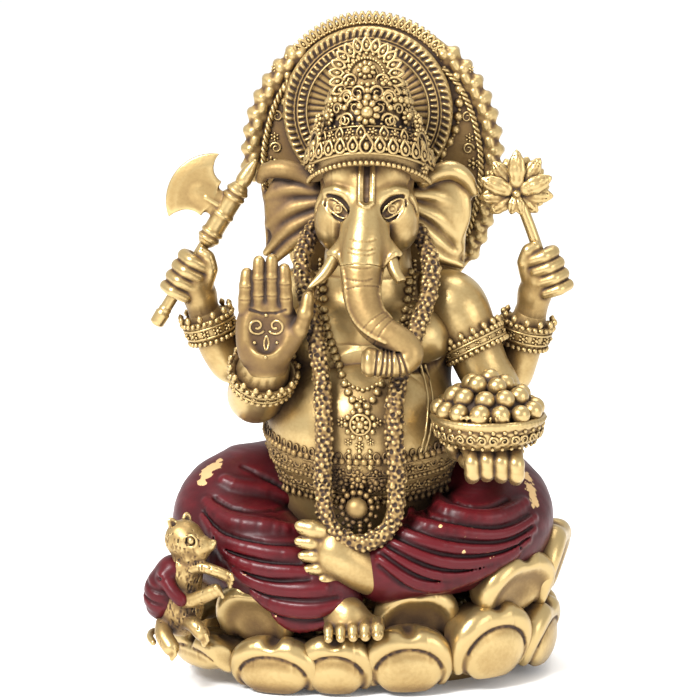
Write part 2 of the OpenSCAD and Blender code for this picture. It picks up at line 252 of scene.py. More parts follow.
    def ring(self, c, axis, r, thick, blend=0.0, cut=False):
        """A torus."""
        def distance(*xyz):
            along, out = along_and_out(xyz, c, unit(axis))
            return np.sqrt((out - r) ** 2 + along * along) - thick

        self.merge(c - (r + thick), c + (r + thick), distance, blend, cut)

    def swell(self, amount):
        """Moves the surface by amount(x, y, z) mm, outwards where positive."""
        self.d -= amount(*self.grid()).astype(np.float32)

    def keep(self, side):
        """Cuts away everything where side(x, y, z) is positive."""
        self.d = np.maximum(self.d, side(*self.grid()).astype(np.float32))

    def flatten(self, floor):
        """Cuts away everything below a height."""
        self.d = np.maximum(self.d, floor - self.grid()[2])

    def front(self, x, z, sink=0.0):
        """The foremost point of the surface at x and z, pushed sink mm inwards."""
        i = int(np.clip(round((x - self.low[0]) / self.step), 0, self.d.shape[0] - 1))
        k = int(np.clip(round((z - self.low[2]) / self.step), 0, self.d.shape[2] - 1))
        line = self.d[i, :, k]
        inside = np.nonzero(line < 0)[0]
        if len(inside) == 0:
            return np.array([x, self.low[1] + self.step * int(line.argmin()), z])
        j = inside[0]
        share = line[j] / (line[j] - line[j - 1]) if j else 0
        return np.array([x, self.low[1] + self.step * (j - share) + sink, z])

    def on(self, x, z, sink=0.0):
        """The foremost point of the surface at an x and z given as for at()."""
        spot = at(x, 0, z)
        return self.front(spot[0], spot[2], sink)

    def touch(self, start, way, reach=60):
        """Where a straight line from start meets the surface, or None."""
        line = start + np.arange(0, reach, self.step / 2)[:, None] * unit(way)
        cell = np.round((line - self.low) / self.step).astype(int)
        good = ((cell >= 0) & (cell < self.d.shape)).all(1)
        cell = cell[good]
        hit = np.nonzero(self.d[cell[:, 0], cell[:, 1], cell[:, 2]] < 0)[0]
        return line[good][hit[0]] if len(hit) else None

    def mesh(self, name):
        """The surface as a Blender object, in metres, shaded smooth."""
        grid = openvdb.FloatGrid(background=FAR)
        grid.copyFromArray(np.pad(self.d, 1, constant_values=FAR))
        points, faces = grid.convertToQuads(0.0)
        return new_object(name, (points.astype(float) - 1) * self.step + self.low, faces)


def new_object(name, points_mm, faces):
    """A mesh object from points in mm and faces of four corners."""
    name = "cast_" + name
    mesh = bpy.data.meshes.new(name)
    mesh.vertices.add(len(points_mm))
    mesh.vertices.foreach_set("co", (np.asarray(points_mm, float) * MM).astype(np.float32).ravel())
    mesh.loops.add(faces.size)
    mesh.loops.foreach_set("vertex_index", faces.astype(np.int32).ravel())
    mesh.polygons.add(len(faces))
    mesh.polygons.foreach_set("loop_start", np.arange(0, faces.size, faces.shape[1], dtype=np.int32))
    mesh.polygons.foreach_set("use_smooth", np.ones(len(faces), bool))
    mesh.update(calc_edges=True)
    mesh.validate()
    made = bpy.data.objects.new(name, mesh)
    bpy.context.scene.collection.objects.link(made)
    return made


# ---------------------------------------------------------------- small moulded ornaments, as meshes
class Trim:
    """A pile of small closed meshes, all quads, that becomes one object."""

    def __init__(self):
        self.points, self.faces, self.count = [], [], 0

    def net(self, grid, closed=False, order=(0, 1, 2, 3)):
        """Faces over points [rings, sides, 3]; closed joins the last ring to the first."""
        rings, sides, _ = grid.shape
        i, j = np.arange(rings if closed else rings - 1)[:, None], np.arange(sides)[None, :]
        k, up = (j + 1) % sides, (i + 1) % rings
        corners = np.stack([i * sides + j, i * sides + k, up * sides + k, up * sides + j], -1)
        self.points.append(grid.reshape(-1, 3))
        self.faces.append(corners.reshape(-1, 4)[:, order] + self.count)
        self.count += rings * sides

    def sheet(self, grid):
        """A tube of points [rings, sides, 3], with its two ends pinched to their middles."""
        ends = [np.repeat(end.mean(1, keepdims=True), grid.shape[1], 1) for end in (grid[:1], grid[-1:])]
        self.net(np.concatenate([ends[0], grid, ends[1]]))

    def bead(self, c, r, squash=(1, 1, 1), turn=None):
        """A ball of radius r, or an ellipsoid."""
        up, a = np.linspace(0, np.pi, 8)[:, None], around(10)[None, :]
        grid = np.stack([np.sin(up) * np.cos(a), np.sin(up) * np.sin(a), np.cos(up) + 0 * a], -1)
        grid = grid * r * np.array(squash)
        self.net((grid if turn is None else grid @ turn.T) + c, order=(0, 3, 2, 1))

    def cord(self, points, r, sides=6, closed=False):
        """A round cord along points; r is one radius or one for each point."""
        p = np.array(points, float)[:, :3]
        way = np.roll(p, -1, 0) - np.roll(p, 1, 0) if closed else np.gradient(p, axis=0)
        way /= np.maximum(np.linalg.norm(way, axis=1), 1e-9)[:, None]
        side = unit(np.cross(way[0], [0.31, 0.87, 0.39]))
        a = around(sides)[:, None]
        grid = []
        for c, w, radius in zip(p, way, np.broadcast_to(np.array(r, float), len(p))):
            side = unit(side - w * (side @ w))
            grid.append(c + radius * (np.cos(a) * side + np.sin(a) * np.cross(w, side)))
        if closed:
            self.net(np.array(grid), closed=True)
        else:
            self.sheet(np.array(grid))

    def mesh(self, name):
        made = new_object(name, np.vstack(self.points), np.vstack(self.faces))
        work = bmesh.new()
        work.from_mesh(made.data)
        bmesh.ops.remove_doubles(work, verts=work.verts, dist=WELD)
        bmesh.ops.recalc_face_normals(work, faces=work.faces)
        work.to_mesh(made.data)
        work.free()
        return made


# ---------------------------------------------------------------- handing pieces to the frame
PIECES = []


def hand_over(piece, slot, *nodes):
    """Rides the piece on the one body, in place of its CAD nodes."""
    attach(piece, "root")
    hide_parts(*nodes)
    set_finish(piece, slot)
    PIECES.append(piece)


def cast(shape, name, slot="gold_resin", node=None):
    """Meshes a block or a pile of ornaments, and hands it over in place of its own node or another."""
    hand_over(shape.mesh(name), slot, node or name)


# ---------------------------------------------------------------- head
HEAD_X = 0.2        # mm: the face's middle line
EYES = 7.9          # mm from the face's middle line to an eye's middle
TRUNK_ROOT = 30     # mm along the trunk to where it stands free of the face
TRUNK_SEAM = at(-0.6, -30.6, 130.6)     # middle of the trunk where its own piece starts
TRUNK_WAY = (0, -0.33, -0.94)           # the trunk's way there
TRUNK = ((0.6, -19.5, 154, 5.2), (0.5, -22.5, 149, 4.9), (0.3, -25.4, 144, 5.1), (0, -27.5, 139, 5.9),
         (-0.6, -30, 132.5, 6.1), (-0.8, -32.2, 126.5, 5.7), (0.2, -34.5, 120.6, 5.35), (2.6, -36.5, 115.6, 5),
         (6.6, -38, 112, 4.7), (10.8, -39, 109.8, 4.4), (14, -39.8, 107.4, 4.05), (14.2, -40.6, 104.9, 3.8),
         (11.6, -41.4, 103.4, 3.65), (8.2, -42, 103.2, 3.75), (5, -42.3, 103.6, 4.0), (3, -42.3, 103.8, 4.15))
TILAK = ((-1.35, 166), (-1.35, 151.4), (-0.9, 149.6), (0.7, 148.7), (2.3, 149.6), (2.7, 151.4), (2.7, 166))


def half_face(clay, side):
    """One side of the face: brow, cheek, the trunk's root, the eye, and the collar round the tusk."""
    mid = at(HEAD_X, 0, 0)

    def spots(*points):
        return [mid + (side * x, y, z) for x, y, z in points]

    root = curve(spots((3.6, -22, 151), (4.4, -24.2, 145), (5.6, -26, 139), (6.4, -27.5, 133)), 5)
    clay.path(root, 2.0, blend=2.5)
    brow = curve(spots((3.3, -23.2, 148.6), (5.2, -23.6, 151.6), (9.0, -22.6, 153.0), (12.6, -18.6, 151.8)), 5)
    clay.path(brow, 1.3, blend=1.9)
    lean = rotation(0, -side * 36, side * 22)
    eye = spots((EYES, -21.9, 147.7))[0]
    clay.egg(eye + (0, -2.3, 0), (4.9, 1.6, 2.8), lean, blend=1.0, cut=True)
    clay.egg(eye + (0, 1.1, 0), (4.3, 2.5, 2.6), lean, blend=0.25)
    for up, lid, rim in ((1, 0.42, 0.44), (-1, 0.32, 0.32)):
        lines = (4.3, 0.7, 0.75, 2.0, 0.03, lid, 0.25, False), (4.9, 0.9, 0.4, 2.75, 0.2, rim, 0.5, True)
        for wide, depth, bulge, tall, end, thick, blend, cut in lines:
            line = [(wide * math.cos(a), -depth - bulge * math.sin(a), up * tall * math.sin(a) ** 0.85)
                    for a in np.linspace(end, math.pi - end, 15)]
            clay.path([eye + lean @ q for q in line], thick, blend=blend, cut=cut)
    iris, look = eye + lean @ np.array([-0.25 * side, -1.4, 0.0]), lean @ np.array([0, 1, 0])
    clay.ring(iris, look, 1.3, 0.22)
    clay.ring(iris, look, 0.75, 0.18, cut=True)
    under = curve(spots((4.2, -24.2, 146), (4.9, -25.2, 141.6), (7.6, -25.4, 138.6)), 5)
    clay.path(under, 0.45, blend=1.4, cut=True)
    temple = curve(spots((14.9, -13.5, 157), (13.6, -18, 151.5), (14.4, -17, 146.5)), 5)
    clay.path(temple, 0.8, blend=2.2, cut=True)
    collar, lip = spots((6.2, -25, 138), (8.4, -26.8, 134))
    clay.rod(collar, lip, 1.4, 2.9, blend=1.6)
    clay.rod(lip - (side * 0.4, 0, 0), lip + (side * 2.6, -0.8, 0.6), 2.2, 0.5, blend=0.8)
    clay.rod(lip + (0, -0.3, -0.6), lip + (side * 2.5, -3, -4), 1.9, 2.1, blend=0.4, cut=True)


def wrinkle_trunk(clay, trunk):
    """Short creases over the root of the trunk, rings further down it, and deep folds at its tip."""
    way, run = np.gradient(trunk[:, :3], axis=0), lengths(trunk)
    for place in [16.8, 18.4, 20.8, 24.2, 28.2, 33, 43, 46, 48, *np.linspace(run[-1] - 10, run[-1] - 1.6, 6)]:
        i = min(int(np.searchsorted(run, place)), len(trunk) - 1)
        x, _, z, r = trunk[i]
        if place > TRUNK_ROOT:
            clay.ring(trunk[i, :3], way[i], r + 0.1, 0.36 if place > run[-1] - 11 else 0.1, blend=0.3, cut=True)
        else:
            crease = [clay.front(x + u * r * 0.68, z + 0.5 * u * u) for u in np.linspace(-1, 1, 9)]
            clay.path(crease, 0.1, blend=0.3, cut=True)


def head():
    """Skull, brows, eyes and the trunk in one block, so that they flow into each other, then cut in two."""
    clay = Clay(at(-22, -48, 96), at(22, 8, 170), FINE)
    clay.egg(at(HEAD_X, 0, 0) + (0, -9, 154), (14.2, 14, 13))
    for side in (-1, 1):
        for x, y, z, radii, blend in ((6.4, -14.5, 158, (6.9, 8.6, 8), 4), (9.6, -13.5, 142, (6.2, 9, 8.6), 4),
                                      (8.8, -15.8, 147, (6.2, 7.4, 6), 3)):
            clay.egg(at(HEAD_X, 0, 0) + (side * x, y, z), radii, blend=blend)
    trunk = bent(TRUNK, 5)
    clay.path(trunk, blend=3.4)
    for side in (-1, 1):
        half_face(clay, side)
    for edge in (((-7.4, 134.6), (-6.0, 131), (-5.2, 127), (-4.8, 123.4), (-4.0, 119.4), (-1.8, 115.4),
                  (2.2, 112.2),
                  (7, 110)), ((8.6, 134.6), (6.2, 131), (5.3, 127), (5.1, 123.4), (6.2, 119.4), (8.6, 116.6))):
        clay.path([clay.on(x, z, 0.15) for x, z in curve(edge, 4)], 0.5, blend=0.7)
    wrinkle_trunk(clay, trunk)
    tip = at(2.6, -42.3, 103.8)
    clay.ring(tip + (-0.4, 0, 0), (1, 0, 0), 3.7, 0.75, blend=0.8)
    clay.ball(tip + (-2.2, 0, 0), 2.6, blend=0.6, cut=True)
    mark = [clay.front(x, z, 0.1) for x, _, z in even(bent([(x, 0, z) for x, z in TILAK], 4), 0.8)]
    groove = [clay.front(at(0.7, 0, 0)[0], z, 0.25)
              for z in np.arange(at(0, 0, 150.6)[2], at(0, 0, 165)[2], 0.8)]
    clay.path(groove, 0.85, blend=0.35, cut=True)
    clay.path(mark, 0.55, blend=0.25)
    whole = clay.d
    below = sum(w * (axis - c) for w, axis, c in zip(TRUNK_WAY, clay.grid(), TRUNK_SEAM))
    cast(clay.twin(np.maximum(whole, below)), "head")
    cast(clay.twin(np.maximum(whole, -below)), "trunk")


def tusks():
    for node, side, tip, r_tip in (("right_tusk", -1, at(-16.4, -32.2, 124.6), 0.45),
                                   ("left_tusk", 1, at(11.6, -30.8, 126.4), 1.45)):
        root = at(HEAD_X + side * 7.2, -25.6, 136)
        clay = Clay(np.minimum(root, tip) - 4, np.maximum(root, tip) + 4, FINE)
        bend = (root + tip) / 2 + (side * -0.2, -1.0, -1.4)
        clay.path(curve([np.append(root, 2.1), np.append(bend, 1.75), np.append(tip, r_tip)], 8))
        if side > 0:
            way = unit(tip - root)
            clay.keep(lambda x, y, z: (x - tip[0]) * way[0] + (y - tip[1]) * way[1] + (z - tip[2]) * way[2])
        cast(clay, node)


EAR_FOLDS = {     # [x, z] lines of the rolled top, of four folds downwards, and of the outer edge
    "right_ear": (((-17, 154), (-20.1, 155.6), (-25.9, 157.2), (-31, 156.4), (-33.4, 153.6)),
                  ((-14, 150.6), (-17.2, 150.6), (-23.7, 150.8), (-31.4, 148.2)),
                  ((-14, 147), (-17, 146.6), (-23.7, 144.6), (-30.8, 139.4)),
                  ((-14, 143), (-17.2, 142), (-24.4, 138), (-31.7, 130.6)),
                  ((-15, 139), (-17.9, 137.6), (-23.7, 133.6), (-29.8, 127.6)),
                  ((-32.6, 151), (-31.6, 146), (-31.2, 138), (-31.2, 130))),
    "left_ear": (((17, 154), (20.7, 156), (25.7, 157.2), (30.1, 154.6), (32.8, 150)),
                 ((13.5, 150), (16, 149.8), (21.6, 149), (28.6, 145.2)),
                 ((13.5, 146), (15.7, 145), (21.4, 142), (28, 135.7)),
                 ((14, 141), (16.4, 139.6), (21.4, 135), (27.6, 129.8)),
                 ((15, 136), (17, 134.4), (21.8, 130.2), (29.2, 127)),
                 ((32.4, 150.2), (30.2, 145), (29.2, 137), (29.4, 128)))}
FOLD_SIZES = (2.9, 2.0, 2.1, 2.2, 2.0, 0.8)     # mm: radius of each of those lines


def ears():
    """Each ear: a rolled lobe on top, broad folds that fan out from the head, and a pointed lower lip."""
    for node, folds in EAR_FOLDS.items():
        low, high, _ = box_mm(node)
        clay = Clay(low - (3, 9, 4), high + (3, 3, 4), FINE)
        side = -1 if node == "right_ear" else 1
        for x in (16, 20, 25):
            clay.egg(at(side * x, -1.2, 145), (7, 2.4, 11), blend=2)
        clay.path([at(side * 26, 0, 152, 2.4), at(side * 27.6, 0, 143, 2.2), at(side * 28, 0, 132, 1.8)],
                  blend=2)
        for k, (fold, size) in enumerate(zip(folds, FOLD_SIZES)):
            last = len(fold) - 1
            steps = np.arange(last + 1)
            depth = np.full(last + 1, 0.6)
            if k < 5:
                depth = np.interp(steps, (0, last * 0.55, last), (-4.6, -3.6, -0.6))
            radii = np.interp(steps, (0, last * 0.6, last), (0.75, 1.0, 0.5)) * size
            line = bent([(x, y, z, r) for (x, z), y, r in zip(fold, depth, radii)], 14)
            clay.path(line, blend=1.3 if k else 0.9)
        cast(clay, node)


# ---------------------------------------------------------------- body
def body_clay(step):
    """Torso, shoulders and neck; also used to find where the things that lie on the chest touch it."""
    clay = Clay(at(-38, -44, 38), at(38, 34, 142), step)
    clay.egg(at(0, 0, 56), (33, 26, 20))
    clay.egg(at(-0.5, -11.5, 78), (29.5, 26.5, 25), blend=6)
    clay.egg(at(0, -3, 102), (25, 19, 20), blend=9)
    clay.rod(at(-20, -1, 113), at(21, -1, 113), 9.5, 9.5, blend=6)
    for side, low in ((-1, 105), (1, 104.5)):
        clay.egg(at(side * 14.5, -15.5, low + 3), (12, 8.5, 9.5), rotation(-12, side * 8, side * 14), blend=3.2)
    clay.rod(at(0, -2, 112), at(0.2, -5, 136), 15, 12, blend=6)
    clay.egg(at(0, 15, 82), (23, 11, 33), blend=10)
    spine = [clay.touch(at(0, 33, z), (0, -1, 0)) + (0, away, 0)
             for z, away in zip(np.arange(62, 114, 10), (3.6, 2.0, 1.6, 1.6, 1.8, 3.0))]
    clay.path(curve(spine, 12), 2.6, blend=3, cut=True)
    return clay


def torso():
    clay = body_clay(MEDIUM)
    crease = bent([(26.5, -12, 101.5), (20, -20.5, 98.6), (12, -23.8, 99), (6, -23, 101)], 6)[3:]
    clay.path([clay.front(x, z) for x, _, z in crease], 0.7, blend=1.6, cut=True)
    cast(clay, "torso")


ARMS = {     # [x, y, z, radius] from shoulder to wrist
    "rear_right_arm": ((-17, 7, 115, 9), (-27, 7, 109.5, 7.6), (-36, 6, 101, 6.6), (-42.4, 4, 94.3, 5.9),
                       (-46.4, 3, 99, 5.9), (-49, 2.4, 105, 5.7), (-51.4, 2, 111.5, 5.0)),
    "rear_left_arm": ((17, 7, 115, 9), (28, 7, 108.5, 7.6), (38, 6, 98.5, 6.6), (44.4, 4, 91.6, 5.9),
                      (47, 3, 97, 5.9), (48.8, 2.4, 104, 5.7), (50.6, 2, 112, 5.0)),
    "front_right_arm": ((-21.5, -5, 118, 8.6), (-25, -8, 112, 9.2), (-29.5, -13, 101, 8.4),
                        (-33.4, -18.5, 90.4, 8.6),
                        (-33, -22.5, 90.2, 8.5), (-31.4, -27, 95.6, 8.3), (-30, -30, 100.4, 7.6)),
    "front_left_arm": ((22, -5, 118, 8.8), (27, -8, 115.5, 10), (31.5, -9.5, 107, 8.9), (36, -11, 97, 8),
                       (40, -13, 90, 7.8), (41, -18, 84, 7.4), (40.6, -24, 78.4, 6.4),
                       (40.2, -28.5, 74.6, 5.8))}


def arms():
    for node, points in ARMS.items():
        p = bent(points, 6)
        clay = Clay(p[:, :3].min(0) - 13, p[:, :3].max(0) + 13, MEDIUM)
        clay.path(p, blend=3.0)
        cast(clay, node)


# ---------------------------------------------------------------- hands and feet
def digit(clay, points, r, nail=None, blend=1.0, tip=0.85):
    """A finger or toe: joints along points, its end a little thinner, with a nail facing nail."""
    line = curve([np.append(q, r * s) for q, s in zip(points, np.linspace(1, tip, len(points)))], 5)
    clay.path(line, blend=blend)
    if nail is not None:
        end, way = line[-1, :3], unit(line[-1, :3] - line[-3, :3])
        n = np.array(nail, float)
        n = unit(n - way * (n @ way))
        base = end + n * r * tip * 0.72 + way * r * 0.15
        clay.egg(base, (r * 0.62, r * 0.72, r * 0.34), np.stack([np.cross(way, n), way, n], 1), blend=0.15)
        clay.ring(base - n * 0.1, n, r * 0.66, 0.16, cut=True, blend=0.1)
    for q in points[1:-1]:
        clay.ball(q, r * 0.99, blend=0.6)


def palm_hand():
    """The raised right hand: a cupped palm with a soft rim, four fingers side by side, and a thumb."""
    clay = Clay(at(-43, -44, 98), at(-12, -24, 139), FINE)
    clay.path([at(-29.6, -31.4, 101, 7.0), at(-29.2, -32.6, 106.5, 7.6)], own=1)
    clay.egg(at(-28.7, -33.4, 112), (9.6, 4.6, 11.6), rotation(4, 2, 0), blend=2.5)
    clay.egg(at(-34.6, -34.6, 111), (3.4, 4.0, 9.6), rotation(0, 4, 0), blend=1.5)
    clay.egg(at(-29, -35.4, 104.6), (7.4, 3.8, 4.0), blend=1.8)
    clay.egg(at(-22.6, -34.8, 108.6), (3.2, 3.8, 6), rotation(0, 22, 0), blend=1.5)
    clay.egg(at(-28.8, -39.4, 112.6), (5.4, 3.2, 7.2), rotation(4, 2, 0), blend=1.6, cut=True)
    for i, (x, z) in enumerate(((-34.9, 129.2), (-31.2, 132.9), (-27.3, 133.4), (-23.6, 130.6))):
        root, tip = at(-35.4 + i * 4.15, -35.2, 118.2), at(x, -34.4, z)
        knuckles = [root * 0.68 + tip * 0.32 + (0, -0.5, 0), root * 0.34 + tip * 0.66 + (0, -0.5, 0)]
        digit(clay, [root, *knuckles, tip], 2.1, blend=0.5, tip=0.84)
        for share in (0.3, 0.64):
            x0, _, z0 = root * (1 - share) + tip * share
            clay.path([clay.front(x0 + u, z0) for u in (-1.6, -0.8, 0, 0.8, 1.6)], 0.12, blend=0.3, cut=True)
    thumb = [at(-21.8, -35, 107.5), at(-18.8, -36.2, 112.5), at(-17.2, -36, 117.4), at(-16.4, -34.8, 122.2)]
    digit(clay, thumb, 2.5, blend=1.2, tip=0.72)
    crease = [clay.on(x, z) for x, z in ((-33.6, 118.6), (-30, 117.4), (-26, 117.6), (-23, 118.6))]
    clay.path(crease, 0.35, blend=0.5, cut=True)
    cast(clay, "front_right_hand")
    trim = Trim()     # a generic flourish in low relief: two mirrored curls and stalks, and four beads
    for side in (-1, 1):
        t = np.linspace(0, 1, 22)
        curl = [(-28.9 + side * (2.9 + u * math.cos(b)), 113.6 + u * math.sin(b))
                for u, b in zip(2.7 * (1 - 0.75 * t), math.radians(215) + t * TAU * 1.25)]
        stalk = [(-28.9 + side * 0.7 * math.sin(u * 3), 110.6 - 4.5 * u) for u in np.linspace(0, 1, 10)]
        for line, r in ((curl, 0.5), (stalk, 0.42)):
            trim.cord([clay.on(x, z, 0.1) for x, z in line], r)
    for x, z in ((-28.9, 116.9), (-32.4, 108.6), (-25.6, 108.6), (-28.9, 104.6)):
        trim.bead(clay.on(x, z), 0.62)
    cast(trim, "palm_flourish", node="front_right_hand")


def fist(node, side, centre, rod_way, wrist):
    """A fist seen from the front, its fingers wrapped round a rod and its thumb laid over them."""
    c, up, front = at(*centre), unit(rod_way), np.array([0, -1.0, 0])
    clay = Clay(c - 17, c + 17, FINE)
    out = np.cross(front, up) * -side

    def spot(sideways, forwards, upwards):
        return c + out * sideways + front * forwards + up * upwards

    middle = np.append((at(*wrist) + c) / 2 - out * 0.6, 5.0)
    clay.path([at(*wrist, 4.9), middle, np.append(spot(-1.4, 0, -1.5), 5.2)], own=1.5)
    clay.egg(spot(-1.6, 0, 0.5), (4.2, 4.6, 7.2), side_frame(front, up)[:, [0, 2, 1]], blend=2)
    for i, r in enumerate((2.0, 2.05, 1.95, 1.75)):
        height = 5.6 - 3.75 * i
        digit(clay, [spot(-1.2, 3.6, height), spot(3.2, 4.6, height - 0.3), spot(6.0, 1.6, height - 0.5),
                     spot(4.6, -1.8, height - 0.5)], r, blend=0.35, tip=0.95)
    digit(clay, [spot(-4.6, 1.5, 1), spot(-3.4, 3.2, 6), spot(-0.6, 3.4, 8.8), spot(2.0, 3.2, 9)], 2.0, nail=up,
          blend=0.9)
    cast(clay, node)


def bowl_hand():
    """The left hand under the bowl, its four fingers curled up against the foot."""
    clay = Clay(at(24, -53, 58), at(56, -20, 86), FINE)
    clay.path([at(40.2, -28, 74.4, 5.8), at(39.4, -33, 73, 6.4)], own=1)
    clay.egg(at(38.6, -38, 73.4), (9.6, 6, 4.8), blend=2.5)
    for i in range(4):
        x, z = 32.6 + i * 4.35, 77.2 - 0.6 * abs(i - 1.2)
        digit(clay, [at(x, -38.5, z), at(x + 0.4, -43.4, z + 0.3), at(x + 0.9, -46.4, z - 2.2),
                     at(x + 1.0, -46.0, z - 5.4), at(x + 0.8, -43.0, z - 7.2)], 2.45, blend=0.4, tip=0.9)
    digit(clay, [at(32.6, -32, 73), at(28.2, -34.4, 75), at(27, -37.5, 77.6)], 2.5, blend=1)
    cast(clay, "front_left_hand")


def feet():
    clay = Clay(at(-24, -54, 28), at(14, -30, 62), FINE)
    clay.path(bent([(9, -36.5, 35.5, 5.2), (3, -39, 38, 5.8), (-4, -40.5, 42.4, 6.3), (-8.6, -41, 45.6, 5.8)],
                   5), own=2)
    clay.egg(at(-8.8, -41.6, 45.4), (4.6, 4.4, 8.6), rotation(0, 12, 0), blend=2)
    for x0, z0, x1, z1, r in ((-12.0, 51.8, -17.4, 53.2, 2.75), (-12.2, 47.8, -18.2, 48.6, 2.1),
                              (-11.4, 44.0, -17.2, 44.2, 2.0), (-10.4, 40.4, -15.8, 40.0, 1.9),
                              (-8.8, 37.2, -13.8, 36.2, 1.75)):
        mid = at((x0 + x1) / 2, -43.9, (z0 + z1) / 2 + 0.3)
        digit(clay, [at(x0, -42.8, z0), mid, at(x1, -43.2, z1)], r, nail=(-0.25, -1, 0.35), blend=0.8)
    cast(clay, "left_foot")
    clay = Clay(at(-20, -60, 14), at(14, -30, 36), FINE)
    clay.path(bent([(-12.5, -36.5, 27, 3.8), (-8, -40, 27, 4.8), (-3, -43, 25.2, 5.2)], 5), own=2)
    clay.egg(at(-2.4, -44.5, 23.6), (8.4, 5, 3.6), rotation(24, 0, 0), blend=2)
    for i in range(5):
        x = -9.6 + 3.7 * i
        digit(clay, [at(x, -46.6, 23.4 + 0.3 * i), at(x + 0.1, -49.4, 22.6 + 0.3 * i),
                     at(x + 0.2, -51.4, 20.6 + 0.35 * i)],
              1.45 + 0.13 * i, nail=(0, -0.6, 0.8), blend=0.6)
    cast(clay, "right_foot")


# ---------------------------------------------------------------- cloth
# mm of depth from one point of a fold to the next, past which the fold has run off the cloth's side
STEEP = 1.6
# x, z and size of each place where the red is rubbed off
WEAR = ((-49.6, 63.4, 3.3), (-47.2, 65.2, 3.1), (-50.4, 61, 1.9), (-45.8, 66.8, 1.6), (49.6, 63.6, 2.4),
        (51.2, 60.4, 2.8), (52.2, 57, 2.3), (24, 53.5, 0.9), (31, 46, 0.9))
KNEE_WEAR = []     # the same places on the cloth's surface, found as the legs are built
# Side, block's corners, [x, y, z, radius] from hip to ankle, and [x, z] lines of the folds across the front.
LEGS = {
    "right_leg": (-1, (-62, -50, 18), (5, 28, 72),
                  ((-13, 8, 50, 17.5), (-28, 2, 51, 18), (-41, -6, 49.5, 16.6), (-42.5, -14, 44, 14.4),
                   (-33, -23, 40, 14),
                   (-22, -31, 35, 11.5), (-11, -36, 31, 8.5)),
                  (((-42.8, 67.6), (-32.1, 63), (-23.1, 57.6)),
                   ((-50.5, 59.4), (-40.2, 55.3), (-28.5, 54.8), (-20, 52.6)),
                   ((-52.7, 57.1), (-43.7, 49.4), (-31.2, 47.1), (-20, 46.6)),
                   ((-49.1, 53), (-42.8, 44.8), (-31.2, 42.1), (-18.6, 41.6)),
                   ((-43.7, 43), (-35.7, 38.4), (-26.7, 36.6), (-15.9, 37.5)),
                   ((-38.4, 36.6), (-29.4, 32.1), (-15.9, 31.2), (-7, 32.1)),
                   ((-31.2, 31.2), (-24.9, 25.7), (-14.1, 24.8), (-6.1, 27.5)),
                   ((-24.9, 23), (-17.7, 19.8), (-10.6, 23)))),
    "left_leg": (1, (-3, -50, 22), (64, 28, 74),
                 ((14, 8, 50, 17.5), (29, 2, 51.5, 18), (39.2, -6, 50.6, 16.4), (40, -15, 47.4, 14.4),
                  (32, -24, 45, 12.8),
                  (20, -32, 42.5, 11), (8, -37, 40.5, 8.6)),
                 (((49.5, 61.2), (37.9, 57.1), (24.4, 59.4), (16.3, 63)),
                  ((54.9, 55.8), (42.4, 51.7), (27.1, 53.9), (11.9, 57.1)),
                  ((55.8, 52.1), (43.3, 47.6), (27.1, 49.4), (11, 53.9)),
                  ((54.9, 49.4), (42.4, 44.4), (27.1, 44.8), (10.1, 50.3)),
                  ((52.2, 46.6), (37.9, 40.7), (24.4, 40.7), (8.3, 47.6)),
                  ((46.8, 43), (33.4, 38), (19.9, 38), (6.5, 45.7)),
                  ((37.9, 38.4), (27.1, 35.3), (16.3, 34.4), (5.6, 42.1))))}


def leg(node, side, low, high, points, valleys):
    """One draped leg, with a ridge of cloth between each two valleys and softer folds behind."""
    clay = Clay(at(*low), at(*high), MEDIUM)
    clay.path(bent(points, 5), own=4)
    if side < 0:
        clay.egg(at(-14, -35.6, 30.4), (14, 9.6, 10), rotation(0, -10, 0), blend=5)
    else:
        clay.egg(at(6, -37, 38), (8.5, 7.5, 9), blend=4)
    shell = clay.twin(clay.d.copy())
    lines = [even(bent([(x, 0, z) for x, z in line], 6), 1.2)[3:] for line in valleys]
    for pair in zip(lines[:-1], lines[1:]):
        n = min(len(line) for line in pair)
        share = np.linspace(0, 1, n)
        top, bottom = (np.array([np.interp(share, np.linspace(0, 1, len(s)), axis) for axis in s.T]).T
                       for s in pair)
        wide = np.clip(np.linalg.norm(top - bottom, axis=1) * 0.46, 0.9, 2.9)
        wide = wide * (0.5 + 0.5 * np.sin(np.linspace(0.1, math.pi - 0.1, n)))
        ridge = [np.append(shell.front(q[0], q[2], 0.62 * w), w) for q, w in zip((top + bottom) / 2, wide)]
        clay.path(ridge, blend=1.6)
    for line in lines:
        line = [shell.front(q[0], q[2]) for q in line]
        line = [q for q, last in zip(line[1:], line) if abs(q[1] - last[1]) < STEEP]
        depth = 0.1 + 0.22 * np.sin(np.linspace(0.15, math.pi - 0.15, len(line)))
        clay.path([np.append(q + (0, 0.1, 0), w) for q, w in zip(line, depth)], blend=1.5, cut=True)
    _, back, middle = at(0, -6, 46)

    def rear_folds(x, y, z):
        wave = np.sin((z - middle) * 0.92 + np.sin((x + y * 0.7) * 0.16) * 1.5 + y * 0.10)
        return 0.62 * wave * np.clip((y - back) / 14, 0, 1)

    clay.swell(rear_folds)
    KNEE_WEAR.extend((clay.on(x, z), reach) for x, z, reach in WEAR if x * side > 0)
    cast(clay, node, "red_cloth")


# ---------------------------------------------------------------- lotus base
PETAL_REACH = 6.5     # mm from a petal's middle to its outer face
PETALS = {     # width in mm and heading in degrees of each petal, from the front round by the figure's left
    "lower": ((29, -50), (27, -14), (22, -3), (26, 8), (28, 38), (26, 75), (26, 108), (27, 145), (26, 172),
              (26, 189),
              (27, 216), (26, 256)),
    "upper": ((24, -24), (24, 10), (30, 48), (28, 82), (28, 130), (28, 180), (28, 228), (26, 276))}


